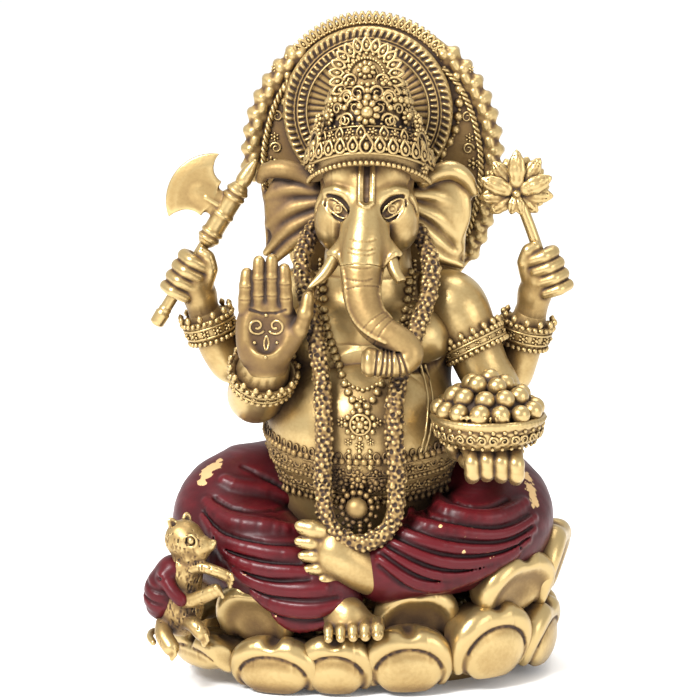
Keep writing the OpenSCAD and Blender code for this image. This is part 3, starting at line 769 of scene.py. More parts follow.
def petal(node, upper, wide, heading):
    """A bulging face inside a rolled, notched rim, leaning out over its foot."""
    low, high, mid = box_mm(node)
    out = np.array([math.sin(heading), -math.cos(heading), 0])
    across = np.array([math.cos(heading), math.sin(heading), 0])
    turn = np.stack([across, -out, [0, 0, 1]], 1)
    tall = high[2] - low[2]
    lip = mid * (1, 1, 0) + out * PETAL_REACH + (0, 0, low[2])

    def p(x, y, z, *radius):
        return np.append(lip + turn @ np.array([x * wide, y, z * tall]), radius)

    clay = Clay(low - 3, high + 3, COARSE)
    lean = turn @ rotation(13, 0, 0)
    clay.egg(p(0, 7.6, 0.46), (wide * 0.50, 7.6, tall * 0.50), lean)
    clay.egg(p(0, 8.4, 0.72), (wide * 0.44, 8.0, tall * 0.27), turn, blend=4)
    for flip in (1, -1):
        roll = [p(flip * x, y, z, r) for x, y, z, r in ((-0.41, 5.4, 0.14, 1.4), (-0.445, 3.8, 0.40, 2.1),
                                                        (-0.37, 2.4, 0.66, 2.9), (-0.19, 1.9, 0.83, 3.2),
                                                        (0, 2.7, 0.82, 2.9))]
        clay.path(curve(roll, 5), blend=3.4, own=1.0)
    if upper:
        clay.egg(p(0, -1.6, 0.34), (wide * 0.39, 4.4, tall * 0.42), lean, blend=2.8, cut=True)
    else:
        clay.egg(p(0, 2.1, 0.33), (wide * 0.40, 3.7, tall * 0.40), lean, blend=1.1)
        edge = [clay.touch(p(0.395 * math.cos(t), -9, 0.33 + 0.40 * math.sin(t)), -out, 22)
                for t in np.linspace(0.2, math.pi - 0.2, 34)]
        clay.path([q for q in edge if q is not None], 0.16, blend=1.0, cut=True)
    clay.egg(p(0, 1.2, 1.03), (1.6, 5, 1.5), turn, blend=2.6, cut=True)
    clay.flatten(low[2])
    cast(clay, node)


def core():
    """The mound of the lotus, covered in small seeds."""
    low, high, _ = box_mm("lotus_core")
    clay = Clay(low - 3, high + 5, COARSE)
    size = (high - low) / 2
    clay.egg(at(0, 0, 12), (size[0] + 1, size[1] + 1, 16))
    clay.egg(at(0, 0, 3), (size[0] - 1, size[1] - 1, 12), blend=3)
    clay.egg(at(0, 5, 27), (38, 24, 9), blend=3)
    seeds = np.random.default_rng(4)
    for _ in range(260):
        a, u = seeds.uniform(0, TAU), seeds.uniform(0.5, 1)
        height = 12 + 16 * math.sqrt(max(0, 1 - (u * 0.98) ** 2))
        clay.ball(at(size[0] * u * math.cos(a), size[1] * u * math.sin(a), height), 1.1, blend=0.6)
    clay.flatten(low[2])
    cast(clay, "lotus_core")


# ---------------------------------------------------------------- ornaments that lie on the body
GARLAND = ((-16, -9, 140), (-18.5, -15, 135), (-19.3, -21, 129), (-17.6, -26.5, 121), (-15, -30, 112),
           (-13, -33.4, 102),
           (-12, -37, 93), (-11.5, -40.3, 83), (-11.5, -41, 73), (-11.5, -40.6, 64), (-10.5, -41.5, 56),
           (-7, -43.4, 51),
           (0, -44.2, 48.5), (6.5, -43.4, 51), (10, -42, 57), (10.5, -41, 65), (10.5, -41.2, 74),
           (9.8, -40.4, 83),
           (10, -37.4, 92), (12.2, -33.4, 101), (16, -28, 111), (19.3, -22.5, 121), (20, -16, 130),
           (16, -9, 139))


def garland():
    """A thick rope of tiny buds, pitted all over."""
    line = even(bent(GARLAND, 6), 1.5)
    clay = Clay(line.min(0) - 5, line.max(0) + 5, FINE)
    clay.path(even(line, 4), 2.5)
    seeds = np.random.default_rng(7)
    for i, (c, w) in enumerate(zip(line, np.gradient(line, axis=0))):
        w = unit(w)
        side = unit(np.cross(w, (0.02, 1, 0.03)))
        up = np.cross(side, w)
        for k in range(7):
            a = (k + 0.5 * (i % 2)) * TAU / 7 + seeds.uniform(-0.25, 0.25)
            spot = c + (side * math.cos(a) + up * math.sin(a)) * seeds.uniform(2.0, 2.6)
            clay.ball(spot + w * seeds.uniform(-0.4, 0.4), seeds.uniform(0.5, 0.95), blend=0.3)
            a += 0.45 + seeds.uniform(-0.2, 0.2)
            hole = c + (side * math.cos(a) + up * math.sin(a)) * 2.9 + w * seeds.uniform(0.3, 1.0)
            clay.ball(hole, seeds.uniform(0.6, 1.05), blend=0.15, cut=True)
    cast(clay, "garland", "gold_garland")


def strung(trim, line, r, gap, chest=None):
    """Beads on a line; laid on a block's front when one is given."""
    for q in even(line, gap):
        trim.bead(q if chest is None else chest.front(q[0], q[2], -0.4 * r), r)


# The four ornaments below sit at c, in a frame turn whose columns are right, up and out.
def rosette(trim, c, turn, r, petals=8, bead=0.42):
    """A small flower: a middle bead in a ring of oval ones."""
    trim.bead(c + turn[:, 2] * r * 0.15, r * bead, turn=turn)
    for k in range(petals):
        way = clock(turn, TAU * (k + 0.5) / petals)
        trim.bead(c + way * r * 0.72, r * 0.36, (1, 0.72, 0.7),
                  np.stack([way, np.cross(turn[:, 2], way), turn[:, 2]], 1))


def drop(trim, c, turn, r, hang=1):
    """A pointed drop."""
    line = [c + turn[:, 1] * r * u * -hang for u in (-1.2, -0.6, 0, 0.6, 1.15, 1.6)]
    trim.cord(line, np.array([0.2, 0.5, 0.85, 0.95, 0.6, 0.15]) * r, 8)


def loop(trim, c, turn, wide, tall, thick, bead=None, tip=0.0):
    """An upright oval loop, pointed where tip is more than 0, with a bead inside."""
    a = around(OVALS)
    above = np.clip(np.sin(a), 0, 1)
    x = np.cos(a) * wide * (1 - 0.55 * tip * above ** 2)
    y = np.sin(a) * tall + tip * tall * 0.35 * above ** 6
    trim.cord([c + turn[:, 0] * u + turn[:, 1] * v for u, v in zip(x, y)], thick, closed=True)
    if bead:
        trim.bead(c - turn[:, 1] * tall * 0.12, bead, (0.85, 1.25, 0.8), turn)


def scroll(trim, c, turn, r, thick, hand=1):
    """A curl that winds in to its middle."""
    t = np.linspace(0, 1, 20)
    a = t * 1.35 * TAU
    line = [c + turn[:, 0] * hand * u * math.cos(b) + turn[:, 1] * u * math.sin(b)
            for u, b in zip(r * (1 - 0.78 * t), a)]
    trim.cord(line, thick * (1 - 0.45 * t))


def necklace(chest):
    """Three strings of beads, a round pendant with flowers and drops, and the thread over the left shoulder."""
    trim = Trim()
    strings = ((((13.5, 126), (12, 114), (8.4, 102), (4.4, 93), (1.4, 89.2)), 8, 1.3, 2.45),
               (((14.5, 129), (14.4, 119), (11.6, 108), (7.4, 98.4), (3.8, 94.8), (0, 93.6)), 8, 0.75, 1.5),
               (((17, 118), (16.4, 108), (15.4, 99)), 6, 0.85, 1.75))
    for side in (-1, 1):
        for line, n, r, gap in strings:
            strung(trim, bent([(side * x, 0, z) for x, z in line], n), r, gap, chest)
    seat = chest.on(-0.5, 84, -0.6)
    turn = side_frame(seat - at(0, -10, 84))
    trim.cord([seat + clock(turn, a, 3.0) for a in around(24)], 0.55, closed=True)
    rosette(trim, seat + turn[:, 2] * 0.5, turn, 2.6, 8, 0.5)
    for a in around(12):
        trim.bead(seat + clock(turn, a, 4.4), 0.9)
    for dx, dz, r in ((-5.6, 0.5, 1.5), (5.2, 0.5, 1.5), (0, 6.6, 1.6), (-3.6, -5.4, 1.1), (3.2, -5.4, 1.1),
                      (-0.2, -6.6, 1.4)):
        rosette(trim, chest.front(seat[0] + dx, seat[2] + dz, -0.5), turn, r, 6)
    for dx, long in ((-3.4, 2), (-0.2, 4), (3, 2)):
        for k in range(long):
            trim.bead(chest.front(seat[0] + dx, seat[2] - 8.2 - 1.7 * k, -0.3), 0.72)
        drop(trim, chest.front(seat[0] + dx, seat[2] - 9.4 - 1.7 * long, -0.4), turn, 1.1)
    cast(trim, "necklace", "gold_ornament")
    thread = Trim()
    sash = even(bent([(17, 0, 99.5), (19.5, 0, 90), (19, 0, 80), (16, 0, 71)], 6), 1.2)
    for dx, r in ((0, 0.55), (1.4, 0.45)):
        thread.cord([chest.front(q[0] + dx, q[2], 0.1) for q in sash], r)
    cast(thread, "sacred_thread", node="torso")


def belt(chest):
    """A broad filigree band under the belly: bead chains, scrolls and rosettes, with a boss in front."""
    trim, band = Trim(), Trim()
    turns = np.radians(np.arange(-124, 124.1, 2.0))

    def spot(a, up, lift=0.0):
        """The skin at an angle a from straight ahead, up the belt's width from 0 to 1, and a frame there."""
        away = 1 - math.cos(a)
        c = at(0, -7, (59.6 + 3.0 * away) * (1 - up) + (72.4 + 6.0 * away) * up)
        way = np.array([math.sin(a), -math.cos(a), 0])
        hit = chest.touch(c + way * 48, -way)
        return (c + way * 27 if hit is None else hit) + way * lift, side_frame(way)

    for up, r in ((1.0, 1.15), (0.52, 0.85), (0.04, 1.0)):
        strung(trim, np.array([spot(a, up, 0.5)[0] for a in turns]), r, r * 2.0)
    for up, r in ((0.90, 0.45), (0.60, 0.4), (0.44, 0.4), (0.14, 0.45)):
        trim.cord([spot(a, up, 0.45)[0] for a in turns], r)
    for i, a in enumerate(np.radians(np.arange(-122, 123, 5.2))):
        for row, up in enumerate((0.75, 0.29)):
            c, turn = spot(a, up, 0.5)
            if (i + row) % 2:
                rosette(trim, c, turn, 1.75, 7)
            else:
                scroll(trim, c, turn, 1.75, 0.5, 1 if i % 4 < 2 else -1)
                trim.bead(c + turn[:, 1] * 1.2 - turn[:, 0] * 0.6, 0.4)
        drop(trim, *spot(a + 0.045, -0.10, 0.7), 1.0)
        loop(trim, *spot(a, 1.12, 0.3), 0.9, 1.1, 0.3)
    boss, turn = at(-1.5, -40.6, 58.6), side_frame((0, -1, 0.1))
    trim.bead(boss, 3.5, (1, 1, 0.8), turn)
    for a in around(14):
        trim.bead(boss + clock(turn, a) * 4.6 + (0, 0.8, 0), 0.95)
        trim.bead(boss + clock(turn, a) * 6.4 + (0, 1.5, 0), 0.7)
    for x, z in ((-7.4, 66), (4.8, 66), (-1.2, 67.4)):
        rosette(trim, spot(math.atan2(x, 33), (z - 60) / 13, 1.4)[0], side_frame((x * 0.02, -1, 0.1)), 2.5, 9)
    for dx, n in ((-6.2, 3), (-3.2, 4), (0.2, 4), (3.2, 3)):
        for k in range(n):
            trim.bead(at(dx - 0.6, -41.6, 53.4 - 1.5 * k), 0.75)
    section = ((1.05, 0.2), (0.98, 0.6), (0.75, 0.7), (0.5, 0.6), (0.25, 0.7), (0.02, 0.6), (-0.05, 0.2),
               (-0.05, -1.2), (0.5, -1.2), (1.05, -1.2))
    band.sheet(np.array([[spot(a, *s)[0] for s in section] for a in np.radians(np.arange(-126, 126.1, 3.0))]))
    cast(band, "belt", "gold_ornament")
    cast(trim, "belt_jewels", "gold_ornament", "belt")


BAND = ((-0.5, -0.3), (-0.46, 0.15), (-0.2, 0.3), (0, 0.35), (0.2, 0.3), (0.46, 0.15), (0.5, -0.3), (0.4, -1.3),
        (-0.4, -1.3))
# Middle, way to the hand, radius, width, how much wider it gets, and the side that carries the drops.
BRACELETS = {
    "rear_right_bracelet": (((-49.6, 2.2, 106.6), (-5.2, -2, 17), 7.4, 7.6, 0.8, 1),),
    "rear_left_bracelet": (((49.0, 2.2, 105.6), (4.4, -2, 20), 7.4, 8, 0.8, 1),),
    "front_right_bracelet": (((-30.8, -27.6, 96.6), (2.6, -9, 12), 9.6, 5.4, 0.8, 1),),
    "front_left_bracelet": (((40.2, -26.8, 75.4), (0, -14, -10), 7.4, 5, 0.4, 1),),
    "armlets": (((33.4, -10, 104), (13.7, -4, -27), 9.6, 5.2, -0.5, -1),
                ((-29.2, -12.6, 102), (-9.9, -12, -26), 9.4, 5.2, -0.5, -1))}


def bracelet(trim, centre, axis, radius, length, flare, edge):
    """A band round an arm with rows of beads, two cords, flowers and a toothed edge."""
    axis = unit(axis)
    right = unit(np.cross(axis, (0.1, 1, 0.2)))
    other = np.cross(axis, right)

    def at_ring(a, along, out=0.0):
        way = right * math.cos(a) + other * math.sin(a)
        return (at(*centre) + axis * along + way * (radius + out + flare * along / length),
                np.stack([np.cross(axis, way), axis, way], 1))

    turns = around(40)
    trim.net(np.array([[at_ring(a, u * length, out)[0] for u, out in BAND] for a in turns]), closed=True)
    for along in (-0.42, 0.42):
        count = int(TAU * radius / (0.85 * 2.1))
        for k in range(count):
            trim.bead(at_ring(TAU * k / count, along * length, 0.5)[0], 0.85)
    for along in (-0.2, 0.2):
        trim.cord([at_ring(a, along * length, 0.55)[0] for a in turns], 0.42, closed=True)
    count = int(TAU * radius / 3.6)
    for k in range(count):
        a = TAU * k / count
        rosette(trim, *at_ring(a, 0, 0.6), min(1.5, length * 0.2), 6)
        drop(trim, *at_ring(a, edge * length * 0.5 + edge * 0.9, 0.3), 1.05, -edge)


# ---------------------------------------------------------------- crown
CROWN_AXIS = (0.8, -9)
CROWN_PROFILE = ((0, 1.6, 6.0, 7.4, 10, 12.5, 17, 23, 27, 30, 32),
                 (18.2, 19.0, 18.6, 17.2, 14.8, 13.6, 12.8, 11.4, 9.6, 6.4, 2))
CROWN_LEVELS = (-2.5, 0, 1.6, 3.2, 4.8, 6.0, 7.4, 8.6, 10, 12.5, 15, 17, 20, 23, 25, 27, 28.5, 30, 31, 32)
CROWN_POINTS = 30     # upright loops round the brim


def on_crown(a, z, out=0.0):
    """A point on the crown and a frame there, at an angle a from straight ahead and z above the brim's foot.
    The brim rises over the brow."""
    way = np.array([math.sin(a), -math.cos(a), 0])
    foot = 156.4 + 7.6 * max(math.cos(a), 0) ** 1.3
    share = max(0, 1 - z / 30)
    c = at(*CROWN_AXIS, foot * share + 161 * (1 - share) + z * 0.92)
    return c + way * (float(np.interp(z, *CROWN_PROFILE)) + out), side_frame(way + (0, 0, 0.16))


def crown():
    """A tall jewelled crown: brim, a row of upright loops, then beads, curls and flowers up to its top."""
    turns = np.linspace(-np.pi, np.pi, 73)[:-1]
    body, trim = Trim(), Trim()
    body.sheet(np.array([[on_crown(a, z, -0.4)[0] for a in turns] for z in CROWN_LEVELS])[:, ::-1])
    cast(body, "crown", "gold_ornament")
    for z, out, r, gap in ((-2.3, 0.4, 0.8, 1.7), (6.6, 0.3, 0.7, 1.5)):
        line = np.array([on_crown(a, z, out)[0] for a in turns])
        strung(trim, np.vstack([line, line[:1]]), r, gap)
    for z, r, out in ((1.4, 0.55, 0.3), (10.6, 0.4, 0.2), (24.6, 0.45, 0.2)):
        trim.cord([on_crown(a, z, out)[0] for a in turns], r, closed=True)
    for k in range(CROWN_POINTS):
        a, size = TAU * k / CROWN_POINTS, 1 if k else 1.3
        loop(trim, *on_crown(a, 4.3, 0.8), 1.5 * size, 1.95 * size, 0.48, 0.85 * size, tip=1)
        a += math.pi / CROWN_POINTS
        trim.bead(on_crown(a, 3.2, 0.7)[0], 0.55)
        if k % 2:
            loop(trim, *on_crown(a, 8.6, 0.5), 1.25, 1.6, 0.42, 0.7, tip=1)
        else:
            rosette(trim, *on_crown(a, 8.6, 0.5), 1.5, 7)
    for step in range(6):
        front, mid = step == 0, TAU * step / 6
        size = 1.25 if front else 0.9
        rosette(trim, *on_crown(mid, 15.6, 1.4 if front else 0.8), 3.1 * size, 9, 0.5)
        for s in (-1, 1):
            for da, z, r, hand in ((16, 17.6, 2.1, 1), (27, 13.2, 1.9, -1), (14, 22.6, 1.8, -1),
                                   (30, 21.2, 1.9, 1)):
                scroll(trim, *on_crown(mid + s * math.radians(da), z, 0.7), r * size, 0.55, s * hand)
            for da, z, r in ((11, 20.8, 1.15), (21, 20.6, 0.95), (9, 25.8, 0.8), (24, 25.8, 0.9),
                             (30, 17.6, 1.0), (5, 19.4, 0.7)):
                trim.bead(on_crown(mid + s * math.radians(da), z, 0.9)[0], r)
        for z, r in ((20.8, 1.35), (23.4, 1.0), (25.4, 0.85)):
            trim.bead(on_crown(mid, z, 1.0)[0], r)
        rosette(trim, *on_crown(mid + (math.pi / 6 if front else 0), 26.6, 0.6), 1.7, 8, 0.5)
    for count, z, r in ((42, 11.6, 0.5), (48, 18.7, 0.42)):
        for k in range(count):
            trim.bead(on_crown(TAU * k / count, z, 0.5)[0], r)
    for k in range(14):
        loop(trim, *on_crown(TAU * (k + 0.5) / 14, 28.6, 0.2), 1.2, 2.0, 0.45, 0.7, tip=1)
    trim.bead(on_crown(0, 32, -2)[0] + (0, 0, 0.8), 1.9)
    crown_top(trim)
    for s in (-1, 1):
        c, turn = on_crown(s * math.radians(62), 7.4, 1.2)
        loop(trim, c, turn, 2.6, 3.6, 0.6, 1.6)
        for b in around(16):
            trim.bead(c + clock(turn, b, 3.7, 4.8), 0.7)
        rosette(trim, c + turn[:, 1] * 7.2, turn, 2.2, 7)
        rosette(trim, c - turn[:, 1] * 7.0, turn, 1.9, 7)
    cast(trim, "crown_jewels", "gold_ornament", "crown")


def crown_top(trim):
    """The round fan at the top of the crown, facing forwards: its plate, a flower, beads and a row of loops."""
    top = at(CROWN_AXIS[0] - 0.6, CROWN_AXIS[1] - 7.6, 187.2)
    face = side_frame((0, -1, 0.22))
    _, up, out = face.T
    for k in range(15):
        way = clock(face, math.radians(-28 + 236 * k / 14))
        turn = np.stack([np.cross(way, out), way, out], 1)
        loop(trim, top + way * (9.6 - 0.6 * abs(way @ face[:, 0])), turn, 1.3, 1.9, 0.5, 0.75, tip=0.6)
        trim.bead(top + way * 6.9, 0.62)
    for a in np.linspace(-0.5, math.pi + 0.5, 26):
        trim.bead(top + clock(face, a, 5.4) + out * 0.5, 0.5)
    rosette(trim, top + up * 1.6 + out * 1.2, face, 2.9, 9, 0.5)
    trim.bead(top + up * 12.6, 0.9)
    for s in (-1, 1):
        scroll(trim, top + face[:, 0] * s * 4.6 - up * 1.6 + out * 0.8, face, 2.2, 0.6, s)
    fan = Trim()
    steps = (7.0, -4), (8.6, -1.8), (8.4, -0.6), (6, -0.3), (3, -0.1), (0.6, 0)
    rings = [[top + clock(face, a, r) + out * off for a in around(40)] for r, off in steps]
    fan.sheet(np.array(rings)[:, ::-1])
    cast(fan, "crown_fan", "gold_ornament", "crown")


# ---------------------------------------------------------------- halo and arch
def halo():
    """The fluted disc behind the crown, moulded in one face: flutes, a rope, rings and a rim of ovals."""
    low, high, mid = box_mm("halo_disc")
    radius = (high[0] - low[0]) / 2
    rings = np.concatenate([np.linspace(0.5, 9, 12), np.linspace(9.3, radius, 68)])
    r, a = np.meshgrid(rings, around(432), indexing="ij")
    face = 0.25 * np.abs(np.sin(a * 27)) ** 0.7 * 1.9 * ((r > 9.6) & (r < 18.6))
    for at_r, tall, wide in ((9.3, 0.9, 0.5), (19.1, 0.9, 0.42), (22.0, 0.6, 0.32), (22.9, 0.6, 0.32)):
        face += tall * np.exp(-((r - at_r) / wide) ** 2)
    face += (0.5 + 0.4 * np.cos(a * 72)) * np.exp(-((r - 20.7) / 1.0) ** 6)
    face += (0.75 + 0.45 * np.cos(a * 72 + (r - 24.9) * 0.9)) * np.exp(-((r - 24.8) / 1.5) ** 4)
    face = (face + 0.4) * np.clip((radius - r) / 0.6, 0, 1)
    front = np.stack([mid[0] + r * np.cos(a), low[1] + 0.9 - face, mid[2] + r * np.sin(a)], -1)
    back = front[::-1][:3].copy()
    back[:, :, 1] = np.array([high[1] - 0.4, high[1], high[1]])[:, None]
    trim = Trim()
    trim.sheet(np.concatenate([front, back]))
    cast(trim, "halo_disc", "gold_ornament")


ARCH_X = 0.5                    # mm: the arch's middle line
LEFT_END = at(0, 0, 155)[2]     # the lobes on the figure's right stop here, behind the axe
LOBES = ((24.6, 190.5), (28.8, 186), (32.3, 181), (35.2, 175), (37, 169), (38, 162.6), (38.3, 156), (37.6, 149),
         (36, 142),
         (34, 135.5), (31, 129))
ARCH_FEET = ((-37, 153), (-33, 148), (-30, 143), (-28, 136), (-26, 126), (-20, 114), (22, 114), (31, 126),
             (35, 136),
             (37.4, 143), (38.6, 152))
ROPE = ((22, 187), (27, 181.5), (30.4, 175), (32.6, 168), (34, 160), (34, 151), (32.4, 142), (30, 134))
HANGING = ((26.4, 184.4), (27.3, 180.2), (27.3, 176.2), (27, 172), (26.2, 168), (24.4, 164), (22, 160),
           (21, 154), (20.6, 147),
           (20, 139))


def plate_edge(clay, line):
    """Distance in the plane of x and z to a closed outline, negative inside it."""
    px, pz = np.meshgrid(clay.axes[0], clay.axes[2], indexing="ij")
    gap, inside = np.full(px.shape, 1e9), np.zeros(px.shape, bool)
    for (ax, az), (bx, bz) in zip(line, np.roll(line, -1, 0)):
        t = np.clip(((px - ax) * (bx - ax) + (pz - az) * (bz - az)) / ((bx - ax) ** 2 + (bz - az) ** 2), 0, 1)
        gap = np.minimum(gap, np.hypot(px - ax - t * (bx - ax), pz - az - t * (bz - az)))
        crossing = (az > pz) != (bz > pz)
        inside ^= crossing & (px < (bx - ax) * (pz - az) / np.where(bz == az, 1e9, bz - az) + ax)
    return np.where(inside, -gap, gap)[:, None, :]


def arch():
    """The arched plate behind everything, with lobes of three bumps down its sides and rings on its back."""
    low, high, mid = box_mm("back_arch")
    clay = Clay(low - (5, 6, 3), high + (5, 4, 5), COARSE)
    outline = [(39.0 * math.cos(t), 158 + 44.6 * math.sin(t)) for t in np.linspace(0, math.pi, 40)]
    line = np.array([at(x + ARCH_X, 0, z)[[0, 2]] for x, z in (*outline, *ARCH_FEET)])
    out = plate_edge(clay, line) + 1.5
    up = np.abs(clay.grid()[1] - mid[1]) - (high[1] - low[1]) / 2 + 1.5
    plate = np.minimum(np.maximum(out, up), 0) + np.hypot(np.maximum(out, 0), np.maximum(up, 0)) - 1.5
    clay.d = plate.clip(-FAR, FAR).astype(np.float32)
    for side in (-1, 1):
        for c in even(bent([(ARCH_X + side * u, 0, v) for u, v in LOBES], 6), 5.4):
            if side < 0 and c[2] < LEFT_END:
                break
            c[1] = low[1] + 1.4
            away = unit((c - at(ARCH_X, 0, 160)) * (1, 0, 1))
            turn = np.stack([away, (0, 1, 0), np.cross(away, (0, 1, 0))], 1)
            clay.egg(c - away * 0.8, (3.6, 2.6, 3.9), turn, blend=0.3)
            for fan in np.radians((-64, 0, 64)):
                way = away * math.cos(fan) + turn[:, 2] * math.sin(fan)
                clay.path([c - away * 2.2 + way * reach + (0, deep, 0)
                           for reach, deep in ((2.4, -1.4), (3.6, -0.2), (4.0, 1.6))],
                          1.75, blend=0.35)
    for k, reach in enumerate((6, 13, 20, 27, 33)):
        ring = [at(ARCH_X + reach * math.cos(t), 0, 160 + reach * 1.12 * math.sin(t)) * (1, 0, 1)
                + (0, high[1], 0) for t in np.linspace(0, TAU, 60)]
        clay.path(ring, 0.7, blend=1.0, cut=bool(k % 2))
    cast(clay, "back_arch", "gold_ornament")
    arch_trim(low[1])


def arch_trim(front):
    """Twisted ropes, hanging beads, flowers and curls down the sides of the plate, and loops over the halo."""
    trim, turn = Trim(), side_frame((0, -1, 0.05))

    def spot(u, v, proud):
        """A point of the plate's front, u to the side being built."""
        return at(ARCH_X + side * u, 0, v) * (1, 0, 1) + (0, front - proud, 0)

    for side in (-1, 1):
        rope = even(curve([spot(u, v, 0.4) for u, v in ROPE], 8), 0.55)
        for phase in (0, math.pi):
            trim.cord([c + np.cross(unit(w), (0, 1, 0)) * 0.6 * math.cos(i * 0.9 + phase)
                       + np.array([0, 0.6, 0]) * math.sin(i * 0.9 + phase)
                       for i, (c, w) in enumerate(zip(rope, np.gradient(rope, axis=0)))], 0.6)
        hang = curve([spot(u, v, 0.2) for u, v in HANGING], 6)
        strung(trim, hang, 1.5, 4.2)
        strung(trim, hang + (side * 0.2, 0.2, 0), 0.65, 1.35)
        for u, v, r in ((30.6, 186.6, 1.0), (33.8, 178.4, 1.0), (31.8, 157, 1.6), (31.6, 149, 1.4),
                        (30.6, 165, 1.2), (29, 142, 1.3)):
            rosette(trim, spot(u, v, 0.1), turn, r * 1.2, 6)
        for u, v in ((29.8, 171.5), (30.2, 161.5), (27.5, 152), (27, 145)):
            scroll(trim, spot(u, v, 0.1), turn, 1.9, 0.5, side)
    hub = at(-0.4, 0, 172.8) * (1, 0, 1) + (0, front, 0)
    for t in np.radians(np.arange(34, 146.1, 4.0)):
        way = np.array([math.cos(t), 0, math.sin(t)])
        petal_turn = np.stack([np.cross(way, (0, -1, 0)), way, (0, -1, 0)], 1)
        loop(trim, hub + (0, -0.1, 0) + way * 29.6, petal_turn, 0.95, 1.5, 0.5, 0.6, tip=1)
        half = t + math.radians(2)
        trim.bead(hub + np.array([math.cos(half), 0, math.sin(half)]) * 28.0, 0.6)
    cast(trim, "arch_trim", "gold_ornament", "back_arch")


# ---------------------------------------------------------------- things held
AXE_PROFILE = ((0, 1.3), (0.6, 2.3), (4.5, 2.4), (5.2, 1.9), (5.8, 2.2), (6.4, 1.9), (30, 1.75), (49, 1.7),
               (49.6, 2.4), (50.6, 2.5),
               # mm along the shaft, radius
               (51.2, 1.8), (52.2, 2.2), (53.6, 2.5), (57, 2.2), (60.4, 1.0), (61.2, 0.3))
BLADE, BEVEL = 15.6, 11.4     # mm: radius of the axe's blade, and of the line where it starts to thin


def axe():
    foot, top = at(-66.4, -1, 107.6), at(-34.2, -1, 160.4)
    trim = Trim()
    steps = np.arange(0, AXE_PROFILE[-1][0], 0.5)
    trim.cord([foot + unit(top - foot) * s for s in steps], np.interp(steps, *zip(*AXE_PROFILE)), 20)
    cast(trim, "axe_shaft")
    clay = Clay(at(-66, -7, 128), at(-30, 6, 166), FINE)
    low, high, middle = at(-49.5, -1, 135.2), at(-40.5, -1, 149.9), at(-47.9, -1, 146.7)
    turn = math.radians(149)
    ahead = np.array([math.cos(turn), 0, math.sin(turn)])
    clay.disc(middle, (0, 1, 0), BLADE, 1.2, 0.25)
    clay.keep(lambda x, y, z: 1.0 - ((x - middle[0]) * ahead[0] + (z - middle[2]) * ahead[2]))
    for dx, dz, r in ((4.6, 10.2, 4.6), (-8.4, -8.6, 6)):
        clay.disc(middle + (dx, 0, dz), (0, 1, 0), r, 4, 0, blend=0.3, cut=True)
    clay.rod(middle - ahead * 3, middle + ahead * 5, 4.4, 3.8, blend=1.4, flat=((0, 1, 0), 0.42))

    def bevel(x, y, z):
        r = np.sqrt((x - middle[0]) ** 2 + (z - middle[2]) ** 2) + 0 * y
        return -0.75 * np.clip((r - BEVEL) / 3.8, 0, 1) ** 1.3

    clay.swell(bevel)
    clay.path([low, high], 3.2, blend=0.6)
    for s in (0.0, 0.12, 0.5, 0.88, 1.0):
        clay.ring(low * (1 - s) + high * s, high - low, 2.9, 0.75, blend=0.3)
    for s in (0.06, 0.94):
        clay.ring(low * (1 - s) + high * s, high - low, 3.5, 0.4, blend=0.2, cut=True)
    clay.path([middle - ahead * 1.5 + (0, -1.6, 0), middle + ahead * 2.5 + (0, -1.3, 0)], 0.8, blend=0.5)
    cast(clay, "axe_head")


# How far forward, set back and arched each ring of petals is, and the heading, length and width of each petal.
LOTUS_PETALS = (
    (-1.8, -1.2, 0.2, ((17, 11.2, 2.8), (49, 10.6, 2.7), (80, 10, 2.7), (-19, 10.6, 2.8), (-53, 10.4, 2.7),
                       (-84, 10, 2.7),
                       (114, 8.8, 2.3), (-113, 9.4, 2.4))),
    (-0.8, -0.4, 0.5, ((34, 12.8, 2.8), (95, 11.2, 2.7), (-37, 12.0, 2.6), (-98, 11.4, 2.7), (132, 8.8, 2.2),
                       (-128, 10.2, 2.4))),
    (0.6, 0.3, 1.0, ((0, 13.4, 2.7), (64, 11.8, 2.7), (-68, 11.8, 2.7))),
    (0.8, 0.5, 0.8, ((166, 6.6, 1.7), (-166, 6.4, 1.7))))


def lotus_petal(clay, base, heading, reach, fat, forward, lift):
    """A flattened, pointed petal with a ridge down its middle and a groove on either side."""
    way = np.array([math.sin(math.radians(heading)), 0, math.cos(math.radians(heading))])
    tip = base + way * reach + (0, -forward, 0)
    line = [base + (tip - base) * t + np.array([0, -lift, 0]) * math.sin(math.pi * t)
            for t in (0.08, 0.3, 0.52, 0.74, 0.9, 1.0)]
    radii = np.array([0.45, 0.8, 1.0, 0.86, 0.48, 0.16]) * fat
    part = clay.like(clay.low + FAR, np.array([axis[-1] for axis in clay.axes]) - FAR)
    part.path([np.append(q, r) for q, r in zip(line, radii)], flat=((0, 1, 0), 0.42), own=0.5)
    clay.join(part, blend=0.12)
    inner = list(zip(line, radii))[1:-1]
    clay.path([q + (0, -0.42 * r - 0.05, 0) for q, r in inner], 0.16, blend=0.5)
    for s in (-1, 1):
        off = np.cross(way, (0, 1, 0)) * s
        clay.path([q + off * r * 0.45 + (0, -0.42 * r, 0) for q, r in inner], 0.14, blend=0.3, cut=True)


def lotus():
    stem = Trim()
    line = bent([(55.4, -1, 117.5), (54.4, -1, 126), (51.4, -1.2, 136), (47.4, -1, 146.6)], 8)
    stem.cord(line, np.interp(np.arange(len(line)), (0, 3, len(line) - 1), (1.3, 1.9, 1.7)), 14)
    cast(stem, "lotus_stem")
    clay = Clay(at(30, -9, 138), at(62, 7, 167), FINE)
    centre = at(45.9, -1, 149.8)
    for forward, back, lift, ring in LOTUS_PETALS:
        for heading, reach, fat in ring:
            lotus_petal(clay, centre + (0, -back, 0), heading, reach, fat, forward, lift)
    clay.ball(centre + (0, -1.6, 0), 1.3, blend=0.4)
    cast(clay, "lotus_flower")


